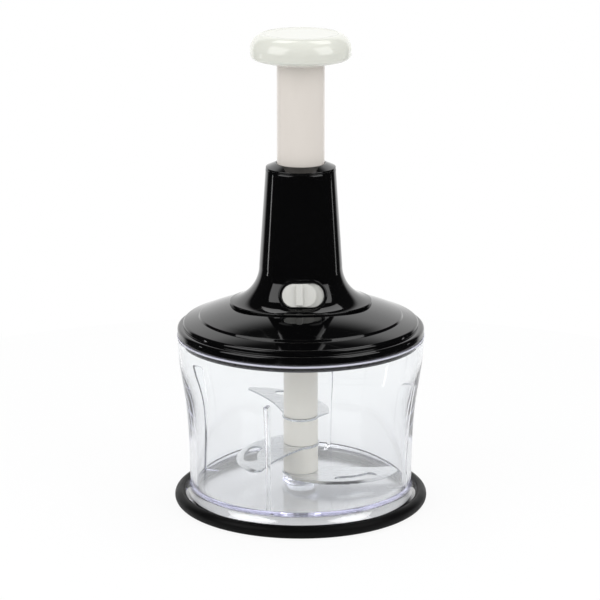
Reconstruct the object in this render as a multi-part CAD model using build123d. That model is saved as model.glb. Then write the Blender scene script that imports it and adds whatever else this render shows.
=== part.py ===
from build123d import *
import math
import os

# A hand-pumped food chopper: a clear bowl on a rubber ring, a column of three stamped blades turning on a
# steel pin in the bowl, and a head (stepped lid and oval tower) in which a sprung plunger carries a nut
# down a twisted bar and so spins the blades.  Millimetres, +Z up, origin on the table at the bowl's axis.
# The front of the object, with the lock slide, faces -Y.

# ------------------------------------------------------------------------------------ driving dimensions
# Rubber base ring
base_ring_overhang = 5.4
base_ring_lip = 1.7
base_ring_height = 7.8
base_ring_inner_height = 5.0
base_ring_sole = 3.0
base_ring_sole_round = 1.2

# Bowl: outer radii and heights of the wall's stations, from the foot to the rim
heel_radius = 65.9
foot_flare = 3.7
foot_wall = 1.9
foot_height = 6.2
foot_clearance = 0.1
waist_swell = 0.6
shoulder_swell = 2.3
mouth_swell = 5.4
rim_swell = 6.5
waist_height = 42.0
shoulder_height = 63.0
mouth_height = 84.0
rim_height = 102.6
rim_land = 4.0
wall_low = 3.8
wall_shoulder = 3.0
wall_high = 2.0
floor_top = 12.6
floor_thickness = 2.2
floor_corner = 4.0
rib_count = 4
rib_first_angle = -109.5
rib_width = 2.4
rib_depth = 1.2
rib_top = 77.0
rib_top_round = 3.6

# Pivot of the blade column
boss_radius = 10.2
boss_rise = 2.2
boss_drop = 4.4
pin_radius = 3.0
pin_sunk = 6.0
pin_length = 54.0
pin_bore_clearance = 0.2

# Blade column
column_radius = 10.1
spacer_step = 0.25
spacer_height = 14.9
core_side = 10.0
core_clearance = 0.1
column_foot_wall = 1.4
column_foot_height = 2.2
column_rest_gap = 0.3
column_head_gap = 1.6
coupling_play = 0.3
socket_depth = 9.0

# Blades: a scimitar arm whose cutting edge is an arc, with a slot and a short pointed heel
blade_thickness = 1.2
blade_hub_step = 1.0
blade_wall_clearance = 2.6
blade_edge_radius = 40.3
blade_edge_drop = 15.1
blade_tip_angle = -19.0
blade_heel_angle = -128.0
blade_back_rise = 3.5
blade_bevel = 2.4
blade_land = 0.35
blade_end_width = 3.6
blade_end_rise = 3.8
blade_slot_width = 7.6
blade_slot_inset = 8.0
blade_slot_start = -84.0
blade_slot_end = -50.0
blade_fold = 14.0
lower_blade_angle = -2.5
middle_blade_angle = 237.5
upper_blade_angle = 117.5
middle_blade_tilt = 0.0
upper_blade_tilt = -6.0

# Lid
lid_gap = 0.3
lid_edge_overhang = 0.1
lid_edge_height = 3.0
lid_side_inset = 0.9
lid_side_rise = 1.0
lid_bead_inset = 3.6
lid_bead_rise = 6.9
lid_shoulder_inset = 12.5
lid_shoulder_rise = 10.3
lid_step = 1.3
lid_step_inset = 0.7
dome_rise = 11.5
lid_wall = 2.2
skirt_wall = 2.6
skirt_clearance = 1.0
plate_drop = 4.0
plate_thickness = 2.4
seal_width = 2.6
seal_height = 1.4
seal_clearance = 0.3
well_clearance = 2.35
well_depth = 12.0
well_floor = 2.4
bush_boss_wall = 3.0
bush_boss_length = 12.0

# Tower
tower_top_margin = 1.9
tower_neck_swell = 3.9
tower_neck_rise = 18.0
tower_wall = 2.4
flare_height = 21.7
flare_reach_side = 21.7
flare_reach_front = 14.1
flare_turn = 79.0
tower_seat_clearance = 0.15
collar_flange = 1.4
collar_cone = 1.8
collar_lip = 0.9
collar_depth = 14.2

# Plunger
plunger_travel = 50.0
tube_radius = 13.8
tube_wall = 2.6
tube_plug = 5.5
slide_clearance = 0.3
nose_below_groove = 2.7
groove_height = 2.6
groove_depth = 1.1
stop_flange_width = 2.6
stop_flange_height = 2.0
key_depth = 1.8
key_width = 4.4
nut_height = 12.0
nut_fit = 0.05
knob_rest_height = 8.3

# Knob
knob_radius = 29.2
knob_height = 17.2
knob_under_inset = 2.8
knob_skirt_width = 4.3
knob_skirt_rise = 2.3
knob_side_low = 4.8
knob_side_high = 7.5
knob_floor = 3.0
knob_socket = 3.4
knob_shell = 3.2
cap_inset = 7.8
cap_thickness = 2.4
cap_dish = 0.5
cap_clearance = 0.1

# Guide sleeve, lock carrier and lock plate
sleeve_wall = 1.8
sleeve_floor = 1.2
sleeve_floor_width = 4.1
keyway_clearance = 0.3
lock_travel = 4.0
lock_plate_rise = 5.6
lock_plate_thickness = 1.6
lock_plate_gap = 0.4
lock_web = 2.9
lock_release_clearance = 0.5
lock_groove_clearance = 0.3
lock_arm_width = 8.0
lock_tongue_width = 5.0
carrier_wall = 1.2
carrier_step = 1.6

# Lock slide on the front of the tower
lock_tilt = 17.0
lock_height = 13.7
lock_length = 24.4
lock_button_thickness = 2.0
lock_stand_off = 3.3
lock_rim = 2.0
lock_pad_wall = 2.0
lock_pad_depth = 6.0
bezel_thickness = 1.4
bezel_clearance = 0.15
button_clearance = 0.3
ridge_width = 4.3
ridge_rise = 1.6

# Twisted drive bar and coupling
bar_width = 9.0
bar_thickness = 4.2
bar_corner = 1.2
bar_lead = 32.0
bar_clearance = 0.3
bar_above_nut = 5.5
bar_flange_radius = 7.0
bar_flange_height = 2.0
journal_radius = 4.0
journal_clearance = 0.06
stub_radius = 2.0
guide_disc_height = 3.0
shank_across_flats = 6.0
coupling_across_flats = 10.4
coupling_flange_radius = 8.4
coupling_flange_height = 1.8
coupling_reach = 7.6
coupling_floor = 1.4
coupling_screw_length = 9.0
bush_wall = 2.0
bush_flange = 2.0
bush_flange_height = 1.0

# Return spring
spring_wire = 1.3
spring_inset = 1.6
spring_turns = 8
spring_seat_wall = 3.6
spring_seat_height = 1.2
spring_end_gap = 0.1

# Screws
screw_shank_radius = 1.5
screw_head_radius = 2.9
screw_head_height = 1.8
screw_hole_clearance = 0.15
screw_boss_radius = 3.4
tower_screw_inset = 5.4
tower_screw_front = 9.5
tower_screw_grip = 4.5
plate_screw_inset = 10.8
plate_screw_count = 3
seat_gap = 0.1
cut_margin = 1.0

# --------------------------------------------------------------------------- heights and radii that follow
foot_radius = heel_radius + foot_flare
foot_inner_radius = foot_radius - foot_wall
base_ring_radius = foot_radius + base_ring_overhang
base_ring_inner_radius = foot_inner_radius - base_ring_lip
waist_radius = heel_radius + waist_swell
shoulder_radius = heel_radius + shoulder_swell
mouth_radius = heel_radius + mouth_swell
rim_radius = heel_radius + rim_swell
floor_bottom = floor_top - floor_thickness
inner_low_radius = heel_radius - wall_low
rib_inner_radius = inner_low_radius - rib_depth
blade_reach = rib_inner_radius - blade_wall_clearance
blade_edge_centre_x = blade_reach - blade_edge_radius * math.cos(math.radians(blade_tip_angle))

boss_top = floor_top + boss_rise
boss_bottom = floor_bottom - boss_drop
pin_bottom = boss_top - pin_sunk
pin_top = pin_bottom + pin_length
pin_bore_radius = pin_radius + pin_bore_clearance

spacer_radius = column_radius + spacer_step
blade_hub_radius = column_radius + blade_hub_step
column_foot_radius = math.sqrt(2) * (core_side / 2 + core_clearance) + column_foot_wall
socket_across_flats = coupling_across_flats + 2 * coupling_play
column_bottom = boss_top + column_rest_gap
lower_blade_bottom = column_bottom + column_foot_height
lower_blade_top = lower_blade_bottom + blade_thickness
middle_blade_bottom = lower_blade_top + spacer_height
middle_blade_top = middle_blade_bottom + blade_thickness
upper_blade_bottom = middle_blade_top + spacer_height
upper_blade_top = upper_blade_bottom + blade_thickness

plate_bottom = rim_height - plate_drop
plate_top = plate_bottom + plate_thickness
column_top = plate_bottom - column_head_gap
lid_edge_radius = rim_radius + lid_edge_overhang
lid_side_radius = lid_edge_radius - lid_side_inset
lid_bead_radius = lid_edge_radius - lid_bead_inset
lid_shoulder_radius = lid_edge_radius - lid_shoulder_inset
dome_edge_radius = lid_shoulder_radius - lid_step_inset
lid_bottom = rim_height + lid_gap
lid_side_top = lid_bottom + lid_edge_height
bead_height = lid_bottom + lid_bead_rise
shoulder_edge_height = lid_bottom + lid_shoulder_rise
dome_edge_height = shoulder_edge_height + lid_step
dome_crown = dome_edge_height + dome_rise
dome_sphere_radius = (dome_edge_radius ** 2 + dome_rise ** 2) / (2 * dome_rise)
dome_centre = dome_crown - dome_sphere_radius
skirt_outer_radius = rim_radius - wall_high - skirt_clearance
skirt_inner_radius = skirt_outer_radius - skirt_wall
seal_outer_radius = rim_radius - wall_high - seal_clearance
seal_inner_radius = seal_outer_radius - seal_width
plate_screw_radius = skirt_inner_radius - plate_screw_inset

tube_bore = tube_radius - tube_wall
spring_radius = tube_bore - spring_inset
well_radius = spring_radius + spring_wire / 2 + well_clearance
well_floor_top = dome_crown - well_depth
well_floor_bottom = well_floor_top - well_floor
bush_outer_radius = journal_radius + journal_clearance + bush_wall
bush_bottom = well_floor_top - bush_boss_length
bush_boss_radius = bush_outer_radius + bush_boss_wall

stop_flange_radius = tube_radius + stop_flange_width
key_reach = stop_flange_radius + key_depth
sleeve_inner_radius = stop_flange_radius + slide_clearance
sleeve_outer_radius = sleeve_inner_radius + sleeve_wall
sleeve_floor_radius = sleeve_outer_radius + sleeve_floor_width
tower_top_radius = sleeve_outer_radius + tower_top_margin
tower_neck_radius = tower_top_radius + tower_neck_swell
tower_screw_side = sleeve_floor_radius + tower_screw_inset
lock_face_offset = tower_neck_radius + lock_stand_off
tower_neck = dome_crown + tower_neck_rise
lock_plate_bottom = dome_crown + lock_plate_rise
lock_plate_top = lock_plate_bottom + lock_plate_thickness
lock_height_centre = (lock_plate_bottom + lock_plate_top) / 2
sleeve_bottom = lock_plate_top + lock_plate_gap
sleeve_floor_top = sleeve_bottom + sleeve_floor
groove_margin = (groove_height - lock_plate_thickness) / 2
groove_bottom = lock_plate_bottom - groove_margin + plunger_travel
groove_top = groove_bottom + groove_height
tube_bottom = groove_bottom - nose_below_groove
stop_flange_bottom = sleeve_floor_top + keyway_clearance + plunger_travel
stop_flange_top = stop_flange_bottom + stop_flange_height
collar_bottom = stop_flange_top + slide_clearance
tower_top = collar_bottom + collar_depth
collar_flange_top = tower_top + collar_flange
collar_top = collar_flange_top + collar_cone
cap_radius = knob_radius - cap_inset
knob_under_radius = knob_radius - knob_under_inset
knob_skirt_radius = tube_radius + knob_skirt_width
knob_bottom = collar_top + plunger_travel + knob_rest_height
tube_top = knob_bottom + knob_socket
knob_top = knob_bottom + knob_height
nut_top = tube_bottom + nut_height

bush_flange_top = well_floor_top + bush_flange_height
bar_flange_bottom = bush_flange_top + seat_gap
bar_flange_top = bar_flange_bottom + bar_flange_height
bar_top = nut_top + bar_above_nut
coupling_top = bush_bottom - seat_gap
coupling_flange_bottom = coupling_top - coupling_flange_height
coupling_bottom = column_top - coupling_reach
coupling_screw_seat = coupling_bottom + screw_head_height + seat_gap
shank_bottom = coupling_screw_seat + coupling_floor
spring_seat_top = well_floor_top + spring_seat_height
spring_bottom = spring_seat_top + spring_end_gap
spring_top = tube_bottom - spring_end_gap


# ------------------------------------------------------------------------------------------ small helpers
def revolved(outline):
    """Solid of revolution about Z from a closed outline of (radius, height) edges."""
    return revolve(Plane.XZ * make_face(outline), Axis.Z)


def ring(inner_radius, outer_radius, bottom, top):
    """Plain tube or disc between two heights."""
    body = Pos(0, 0, bottom) * extrude(Circle(outer_radius), top - bottom)
    if inner_radius > 0:
        body -= Pos(0, 0, bottom - cut_margin) * extrude(Circle(inner_radius), top - bottom + 2 * cut_margin)
    return body


def tower_radius(height):
    """Outer radius of the tower's cone, above the neck of the flare."""
    share = (height - tower_neck) / (tower_top - tower_neck)
    return tower_neck_radius + (tower_top_radius - tower_neck_radius) * share


def dome_height(radius, inset=0.0):
    """Height of the lid's dome at a radius, or of a shell that lies inset below it."""
    return dome_centre + math.sqrt((dome_sphere_radius - inset) ** 2 - radius ** 2)


def flare_section(turn, inset):
    """Ellipse across the tower's flare, turn degrees along its quarter-round sides."""
    angle = math.radians(turn)
    spread = 1 - math.cos(angle)
    half_side = tower_neck_radius + flare_reach_side * spread - inset * math.cos(angle)
    half_front = tower_neck_radius + flare_reach_front * spread - inset * math.cos(angle)
    height = tower_neck - flare_height * math.sin(angle) - inset * math.sin(angle)
    return Pos(0, 0, height) * Ellipse(half_side, half_front)


def pan_screw(seat, length, points_up):
    """Pan-head screw on the Z axis whose head bears on the height seat; the shank runs up or down."""
    head = extrude(Circle(screw_head_radius), screw_head_height)
    head = chamfer(head.edges().sort_by(Axis.Z)[-1], screw_head_height / 4)
    screw = head + Pos(0, 0, -length) * extrude(Circle(screw_shank_radius), length)
    if points_up:
        screw = Rot(180, 0, 0) * screw
    return Pos(0, 0, seat) * screw


def twisted_bar(bottom, top, growth):
    """Flat bar with rounded corners, twisted left-handed about Z at the drive's lead."""
    angle_at_bottom = -360 * bottom / bar_lead
    section = Rot(0, 0, angle_at_bottom) * RectangleRounded(
        bar_width + 2 * growth, bar_thickness + 2 * growth, bar_corner + growth
    )
    length = top - bottom
    start = Pos(0, 0, bottom) * section
    return Solid.extrude_linear_with_rotation(
        start.face(), (0, 0, bottom), (0, 0, length), -360 * length / bar_lead
    )


# ------------------------------------------------------------------------------------------------- bowl
def make_base_ring():
    """Non-slip rubber ring, round outside, with a groove that holds the foot of the bowl."""
    crown = base_ring_height / 2
    outline = [
        Line((base_ring_inner_radius, 0), (base_ring_radius - crown, 0)),
        ThreePointArc(
            (base_ring_radius - crown, 0),
            (base_ring_radius, crown),
            (base_ring_radius - crown, base_ring_height),
        ),
        Line((base_ring_radius - crown, base_ring_height), (foot_radius + foot_clearance, base_ring_height)),
        Line((foot_radius + foot_clearance, base_ring_height), (foot_radius + foot_clearance, base_ring_sole)),
        Line((foot_radius + foot_clearance, base_ring_sole), (foot_inner_radius - foot_clearance, base_ring_sole)),
        Line(
            (foot_inner_radius - foot_clearance, base_ring_sole),
            (foot_inner_radius - foot_clearance, base_ring_inner_height),
        ),
        Line(
            (foot_inner_radius - foot_clearance, base_ring_inner_height),
            (base_ring_inner_radius, base_ring_inner_height),
        ),
        Line((base_ring_inner_radius, base_ring_inner_height), (base_ring_inner_radius, 0)),
    ]
    body = revolved(outline)
    inner_edges = body.edges().filter_by(GeomType.CIRCLE).group_by(Axis.Z)[0]
    return chamfer(inner_edges.sort_by(lambda edge: edge.radius)[0], base_ring_sole_round)


def bowl_outer_wall():
    """Outer line of the wall, from the heel above the foot to just under the rim."""
    return Spline(
        (heel_radius, floor_top),
        (waist_radius, waist_height),
        (shoulder_radius, shoulder_height),
        (mouth_radius, mouth_height),
        (rim_radius, rim_height - rim_land),
        tangents=((0, 1), (0, 1)),
    )


def bowl_inner_wall():
    """Inner line of the wall: thick at the bottom for stiffness, thin at the mouth."""
    return Spline(
        (rim_radius - wall_high, rim_height - rim_land),
        (mouth_radius - wall_high, mouth_height),
        (shoulder_radius - wall_shoulder, shoulder_height),
        (waist_radius - wall_low, waist_height),
        (inner_low_radius, floor_top + floor_corner),
        tangents=((0, -1), (0, -1)),
    )


def make_bowl():
    """Clear bowl: flared foot, floor with the pivot boss, shaped wall and four vertical ribs inside."""
    skirt_step = foot_inner_radius - floor_thickness
    outline = [
        Line((0, floor_bottom), (heel_radius - foot_wall, floor_bottom)),
        Line((heel_radius - foot_wall, floor_bottom), (foot_inner_radius, foot_height - foot_wall / 2)),
        Line((foot_inner_radius, foot_height - foot_wall / 2), (foot_inner_radius, base_ring_sole)),
        Line((foot_inner_radius, base_ring_sole), (foot_radius, base_ring_sole)),
        Line((foot_radius, base_ring_sole), (foot_radius, foot_height)),
        ThreePointArc(
            (foot_radius, foot_height),
            (heel_radius + (foot_radius - heel_radius) * 0.32, foot_height + (floor_top - foot_height) * 0.42),
            (heel_radius, floor_top),
        ),
        bowl_outer_wall(),
        Line((rim_radius, rim_height - rim_land), (rim_radius, rim_height)),
        Line((rim_radius, rim_height), (rim_radius - wall_high, rim_height)),
        Line((rim_radius - wall_high, rim_height), (rim_radius - wall_high, rim_height - rim_land)),
        bowl_inner_wall(),
        RadiusArc(
            (inner_low_radius, floor_top + floor_corner),
            (inner_low_radius - floor_corner, floor_top),
            floor_corner,
        ),
        Line((inner_low_radius - floor_corner, floor_top), (0, floor_top)),
        Line((0, floor_top), (0, floor_bottom)),
    ]
    bowl = revolved(outline)
    bowl += ring(0, boss_radius, floor_bottom, boss_top)
    bowl += ring(0, boss_radius - foot_wall, boss_bottom, floor_bottom)
    filled = revolved(
        [
            Line((0, floor_bottom), (heel_radius, floor_bottom)),
            Line((heel_radius, floor_bottom), (heel_radius, floor_top)),
            bowl_outer_wall(),
            Line((rim_radius, rim_height - rim_land), (0, rim_height - rim_land)),
            Line((0, rim_height - rim_land), (0, floor_bottom)),
        ]
    )
    rib_outline = [
        Line((rib_inner_radius, floor_bottom + foot_wall / 2), (rib_inner_radius, rib_top - rib_top_round)),
        RadiusArc(
            (rib_inner_radius, rib_top - rib_top_round),
            (rib_inner_radius + rib_top_round, rib_top),
            rib_top_round,
        ),
        Line((rib_inner_radius + rib_top_round, rib_top), (rim_radius, rib_top)),
        Line((rim_radius, rib_top), (rim_radius, floor_bottom + foot_wall / 2)),
        Line((rim_radius, floor_bottom + foot_wall / 2), (rib_inner_radius, floor_bottom + foot_wall / 2)),
    ]
    rib = extrude(Plane.XZ * make_face(rib_outline), rib_width / 2, both=True) & filled
    for number in range(rib_count):
        bowl += Rot(0, 0, rib_first_angle + number * 360 / rib_count) * rib
    bowl -= ring(0, pin_radius, pin_bottom, boss_top + cut_margin)
    return bowl


def make_pivot_pin():
    """Polished steel pin pressed into the floor boss, with a turned lead-in at its top."""
    pin = ring(0, pin_radius, pin_bottom, pin_top)
    return chamfer(pin.edges().sort_by(Axis.Z)[-1], pin_radius / 3)


# --------------------------------------------------------------------------------------- blade column
def square_core(side, bottom, top):
    """Square prism about the axis."""
    return Pos(0, 0, bottom) * extrude(Rectangle(side, side), top - bottom)


def make_column_upper():
    """Tall upper sleeve with the drive socket in its top and the square core that carries the blades."""
    sleeve = ring(0, column_radius, upper_blade_top, column_top)
    sleeve = chamfer(sleeve.edges().group_by(Axis.Z)[-1], wall_high / 4)
    core = square_core(core_side, column_bottom + column_foot_height / 2, upper_blade_top)
    socket = Pos(0, 0, column_top - socket_depth) * extrude(
        RegularPolygon(socket_across_flats / 2, 6, major_radius=False), socket_depth + cut_margin
    )
    bore = ring(0, pin_bore_radius, column_bottom - cut_margin, pin_top + pin_bore_clearance)
    return sleeve + core - socket - bore


def make_spacer(bottom):
    """Round spacer between two blades, sliding on the square core."""
    body = ring(0, spacer_radius, bottom, bottom + spacer_height)
    return body - square_core(core_side + 2 * core_clearance, bottom - cut_margin, bottom + spacer_height + cut_margin)


def make_column_foot():
    """Snap-on foot that closes the stack and turns on the floor boss."""
    body = ring(0, column_foot_radius, column_bottom, lower_blade_bottom)
    pocket = square_core(
        core_side + 2 * core_clearance, column_bottom + column_foot_height / 2, lower_blade_bottom + cut_margin
    )
    return body - pocket - ring(0, pin_bore_radius, column_bottom - cut_margin, lower_blade_bottom + cut_margin)


def edge_point(angle):
    """Point of the blade's cutting edge, on its arc about a centre beside the arm."""
    turn = math.radians(angle)
    x = blade_edge_centre_x + blade_edge_radius * math.cos(turn)
    y = blade_edge_drop + blade_edge_radius * math.sin(turn)
    return (x, y)


def make_blade_arm():
    """Flat arm along +X with its lower face on Z = 0: arc cutting edge with a ground bevel, and a slot."""
    heel = edge_point(blade_heel_angle)
    tip = edge_point(blade_tip_angle)
    middle = edge_point((blade_heel_angle + blade_tip_angle) / 2)
    root = (0, blade_hub_radius - blade_thickness)
    blunt = (tip[0] - blade_end_width, tip[1] + blade_end_rise)
    back = (blade_reach / 2 + blade_hub_radius / 2, blade_back_rise)
    outline = [
        ThreePointArc(heel, middle, tip),
        Line(tip, blunt),
        ThreePointArc(blunt, back, root),
        Line(root, (-blade_hub_radius + blade_thickness, 0)),
        Line((-blade_hub_radius + blade_thickness, 0), heel),
    ]
    arm = extrude(make_face(outline), blade_thickness)
    grind = Pos(blade_edge_centre_x, blade_edge_drop, blade_land) * loft(
        [
            Circle(blade_edge_radius),
            Pos(0, 0, blade_thickness - blade_land) * Circle(blade_edge_radius - blade_bevel),
        ]
    )
    land = Pos(blade_edge_centre_x, blade_edge_drop, 0) * extrude(Circle(blade_edge_radius), blade_land)
    slot_line = CenterArc(
        (blade_edge_centre_x, blade_edge_drop),
        blade_edge_radius - blade_slot_inset,
        blade_slot_start,
        blade_slot_end - blade_slot_start,
    )
    slot = extrude(SlotArc(slot_line, blade_slot_width), blade_thickness)
    return arm & (grind + land) - slot


def make_blade(bottom, angle, tilt):
    """Blade stamped from sheet: hub ring on the square core, arm bent about a line across its root."""
    span = 3 * blade_reach
    arm = make_blade_arm()
    outer_half = Pos(blade_fold + span / 2, 0, 0) * Box(span, 2 * span, span)
    inner_half = Pos(blade_fold - span / 2, 0, 0) * Box(span, 2 * span, span)
    fold_height = 0 if tilt <= 0 else blade_thickness
    fold = Pos(blade_fold, 0, fold_height)
    bent = fold * Rot(0, tilt, 0) * fold.inverse() * (arm & outer_half)
    blade = (arm & inner_half) + bent + ring(0, blade_hub_radius, 0, blade_thickness)
    blade = Rot(0, 0, angle) * blade
    blade -= square_core(core_side + 2 * core_clearance, -cut_margin, blade_thickness + cut_margin)
    return Pos(0, 0, bottom) * blade


# -------------------------------------------------------------------------------------------------- lid
def spread_round(piece, radius, count, first_angle):
    """Copies of a piece set round the axis at one radius."""
    return [
        Rot(0, 0, first_angle + number * 360 / count) * Pos(radius, 0, 0) * piece for number in range(count)
    ]


def tower_screw_places():
    """The four screws that hold the tower to the dome, two on each side."""
    return [
        Pos(side * tower_screw_side, front * tower_screw_front, 0) for side in (-1, 1) for front in (-1, 1)
    ]


def make_lid_cover():
    """Glossy stepped lid: rim, bead, shoulder and dome, with a well for the spring and the drive bush."""
    inner_shoulder = lid_shoulder_radius - lid_wall / 2
    well_outer = well_radius + lid_wall
    under_crown = dome_sphere_radius - lid_wall
    arc_middle = (dome_edge_radius + well_radius) / 2
    inner_edge = dome_edge_radius - lid_wall
    outline = [
        Line((lid_edge_radius, lid_bottom), (lid_edge_radius, lid_side_top)),
        Line((lid_edge_radius, lid_side_top), (lid_side_radius, lid_side_top + lid_side_rise)),
        Line((lid_side_radius, lid_side_top + lid_side_rise), (lid_bead_radius, bead_height)),
        Line((lid_bead_radius, bead_height), (lid_shoulder_radius, shoulder_edge_height)),
        Line((lid_shoulder_radius, shoulder_edge_height), (dome_edge_radius, dome_edge_height)),
        ThreePointArc(
            (dome_edge_radius, dome_edge_height),
            (arc_middle, dome_height(arc_middle)),
            (well_radius, dome_height(well_radius)),
        ),
        Line((well_radius, dome_height(well_radius)), (well_radius, well_floor_top)),
        Line((well_radius, well_floor_top), (bush_outer_radius, well_floor_top)),
        Line((bush_outer_radius, well_floor_top), (bush_outer_radius, bush_bottom)),
        Line((bush_outer_radius, bush_bottom), (bush_boss_radius, bush_bottom)),
        Line((bush_boss_radius, bush_bottom), (bush_boss_radius, well_floor_bottom)),
        Line((bush_boss_radius, well_floor_bottom), (well_outer, well_floor_bottom)),
        Line((well_outer, well_floor_bottom), (well_outer, dome_height(well_outer, lid_wall))),
        ThreePointArc(
            (well_outer, dome_height(well_outer, lid_wall)),
            (arc_middle, dome_centre + math.sqrt(under_crown ** 2 - arc_middle ** 2)),
            (inner_edge, dome_height(inner_edge, lid_wall)),
        ),
        Line((inner_edge, dome_height(inner_edge, lid_wall)), (inner_shoulder, shoulder_edge_height - lid_wall)),
        Line((inner_shoulder, shoulder_edge_height - lid_wall), (skirt_inner_radius, bead_height - lid_wall)),
        Line((skirt_inner_radius, bead_height - lid_wall), (skirt_inner_radius, plate_top)),
        Line((skirt_inner_radius, plate_top), (skirt_outer_radius, plate_top)),
        Line((skirt_outer_radius, plate_top), (skirt_outer_radius, lid_bottom)),
        Line((skirt_outer_radius, lid_bottom), (lid_edge_radius, lid_bottom)),
    ]
    lid = revolved(outline)
    boss = ring(0, screw_boss_radius, plate_top, dome_height(plate_screw_radius, lid_wall / 2))
    boss -= ring(0, screw_shank_radius, plate_top - cut_margin, plate_top + screw_boss_radius * 2)
    for copy in spread_round(boss, plate_screw_radius, plate_screw_count, 90):
        lid += copy
    hole = ring(0, screw_shank_radius + screw_hole_clearance, plate_top, dome_crown)
    seat_height = dome_height(tower_screw_side, lid_wall)
    pad = ring(0, screw_boss_radius, seat_height - lid_wall, seat_height + lid_wall / 4)
    for place in tower_screw_places():
        lid += place * pad
        lid -= place * hole
    return lid


def make_lid_plate():
    """Flat plate that closes the lid from below, with a rebate for the seal and stiffening rings."""
    middle_hole = coupling_flange_radius + skirt_wall / 2
    plate = ring(middle_hole, seal_outer_radius - lid_gap, plate_bottom, plate_top)
    rebate = ring(seal_inner_radius - foot_clearance, rim_radius, plate_top - seal_height - foot_clearance, rim_height)
    plate -= rebate
    for radius in (middle_hole + lid_wall, plate_screw_radius * 0.62):
        plate += ring(radius, radius + lid_wall / 2, plate_top, plate_top + lid_wall / 2)
    hole = ring(0, screw_shank_radius + screw_hole_clearance, plate_bottom - cut_margin, plate_top + cut_margin)
    counterbore = ring(
        0, screw_head_radius + screw_hole_clearance, plate_bottom - cut_margin, plate_bottom + plate_thickness / 2
    )
    for copy in spread_round(hole + counterbore, plate_screw_radius, plate_screw_count, 90):
        plate -= copy
    return plate


def make_lid_seal():
    """Soft ring in the rebate of the plate that centres the lid in the mouth of the bowl."""
    return ring(seal_inner_radius, seal_outer_radius, plate_top - seal_height, plate_top - foot_clearance)


def make_plate_screws():
    """Three short screws from below that hold the plate to the lid."""
    screw = pan_screw(plate_bottom + plate_thickness / 2, plate_thickness + screw_boss_radius, True)
    return Compound(spread_round(screw, plate_screw_radius, plate_screw_count, 90))


def make_tower_screws():
    """Four screws from inside the dome into the bosses of the tower."""
    seat = dome_height(tower_screw_side, lid_wall) - lid_wall
    screw = pan_screw(seat, dome_height(tower_screw_side) + tower_screw_grip - 2 * seat_gap - seat, True)
    return Compound([place * screw for place in tower_screw_places()])


def make_bearing_bush():
    """Flanged acetal bush pressed into the floor of the well, in which the drive bar turns."""
    bore = journal_radius + journal_clearance
    bush = ring(bore, bush_outer_radius, bush_bottom, well_floor_top)
    return bush + ring(bore, bush_outer_radius + bush_flange, well_floor_top, bush_flange_top)


# ------------------------------------------------------------------------------------------------ tower
def lock_plane():
    """Plane of the lock slide's face: X along the travel, Z out of the tower and a little upward."""
    tilt = math.radians(lock_tilt)
    return Plane(
        origin=(0, -lock_face_offset, lock_height_centre),
        x_dir=(1, 0, 0),
        z_dir=(0, -math.cos(tilt), math.sin(tilt)),
    )


def lock_block(length, height, back, front):
    """Stadium block on the lock plane, from back to front along the plane's normal."""
    slot = Pos(0, 0, back) * SlotOverall(length, height)
    return lock_plane() * extrude(slot, front - back)


def tower_flare(inset):
    """Oval bell of the tower's base, lofted through ellipses along its quarter-round sides."""
    turns = [flare_turn * step / 6 for step in range(7)]
    return loft([flare_section(turn, inset) for turn in turns])


def make_tower():
    """Glossy oval-based tower: cone, bell-shaped base seated on the dome, pad for the lock slide."""
    foot_height_low = dome_edge_height
    last_turn = math.radians(flare_turn)
    edge_height = tower_neck - flare_height * math.sin(last_turn)
    cone = Pos(0, 0, tower_neck) * loft(
        [Circle(tower_neck_radius), Pos(0, 0, tower_top - tower_neck) * Circle(tower_top_radius)]
    )
    edge = Pos(0, 0, foot_height_low - edge_height) * flare_section(flare_turn, 0)
    tower = cone + tower_flare(0) + extrude(edge, edge_height - foot_height_low)
    inner_top = tower_top - collar_depth
    hollow = Pos(0, 0, tower_neck) * loft(
        [
            Circle(tower_neck_radius - tower_wall),
            Pos(0, 0, inner_top - tower_neck) * Circle(tower_radius(inner_top) - tower_wall),
        ]
    )
    inner_last = tower_neck - (flare_height + tower_wall) * math.sin(last_turn)
    inner_edge = Pos(0, 0, foot_height_low - cut_margin - inner_last) * flare_section(flare_turn, tower_wall)
    hollow += tower_flare(tower_wall)
    hollow += extrude(inner_edge, inner_last - foot_height_low + cut_margin)
    seat_radius = tower_radius(tower_top) - tower_wall
    hollow += ring(0, seat_radius, inner_top - tower_wall, tower_top + cut_margin)
    pad = lock_block(
        lock_length + 2 * lock_pad_wall, lock_height + 2 * lock_pad_wall, -lock_pad_depth, -button_clearance
    )
    tower = tower - hollow + pad
    boss_top_height = dome_height(tower_screw_side) + tower_screw_grip
    boss = ring(0, screw_boss_radius, foot_height_low, boss_top_height)
    solid_flare = tower_flare(0) + extrude(edge, edge_height - foot_height_low)
    for place in tower_screw_places():
        tower += (place * boss) & solid_flare
    for place in tower_screw_places():
        tower -= place * ring(0, screw_shank_radius, foot_height_low - cut_margin, boss_top_height - seat_gap)
    clear_radius = sleeve_floor_radius + slide_clearance
    tower -= ring(0, clear_radius, foot_height_low - cut_margin, sleeve_floor_top + slide_clearance)
    tower -= lock_block(
        lock_length + 2 * bezel_clearance,
        lock_height + 2 * bezel_clearance,
        -lock_rim - bezel_thickness,
        lock_pad_depth,
    )
    tower -= arm_slot(lock_face_offset)
    seat = Pos(0, 0, dome_centre) * Sphere(dome_sphere_radius + tower_seat_clearance)
    return tower - seat


def arm_slot(reach):
    """Room for the lock plate's arm over its whole travel, from inside the carrier out to reach."""
    width = lock_arm_width + lock_travel + 2 * button_clearance
    height = lock_plate_thickness + 2 * lock_plate_gap
    return Pos(0, -reach / 2, lock_height_centre) * Box(width, reach, height)


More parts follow.
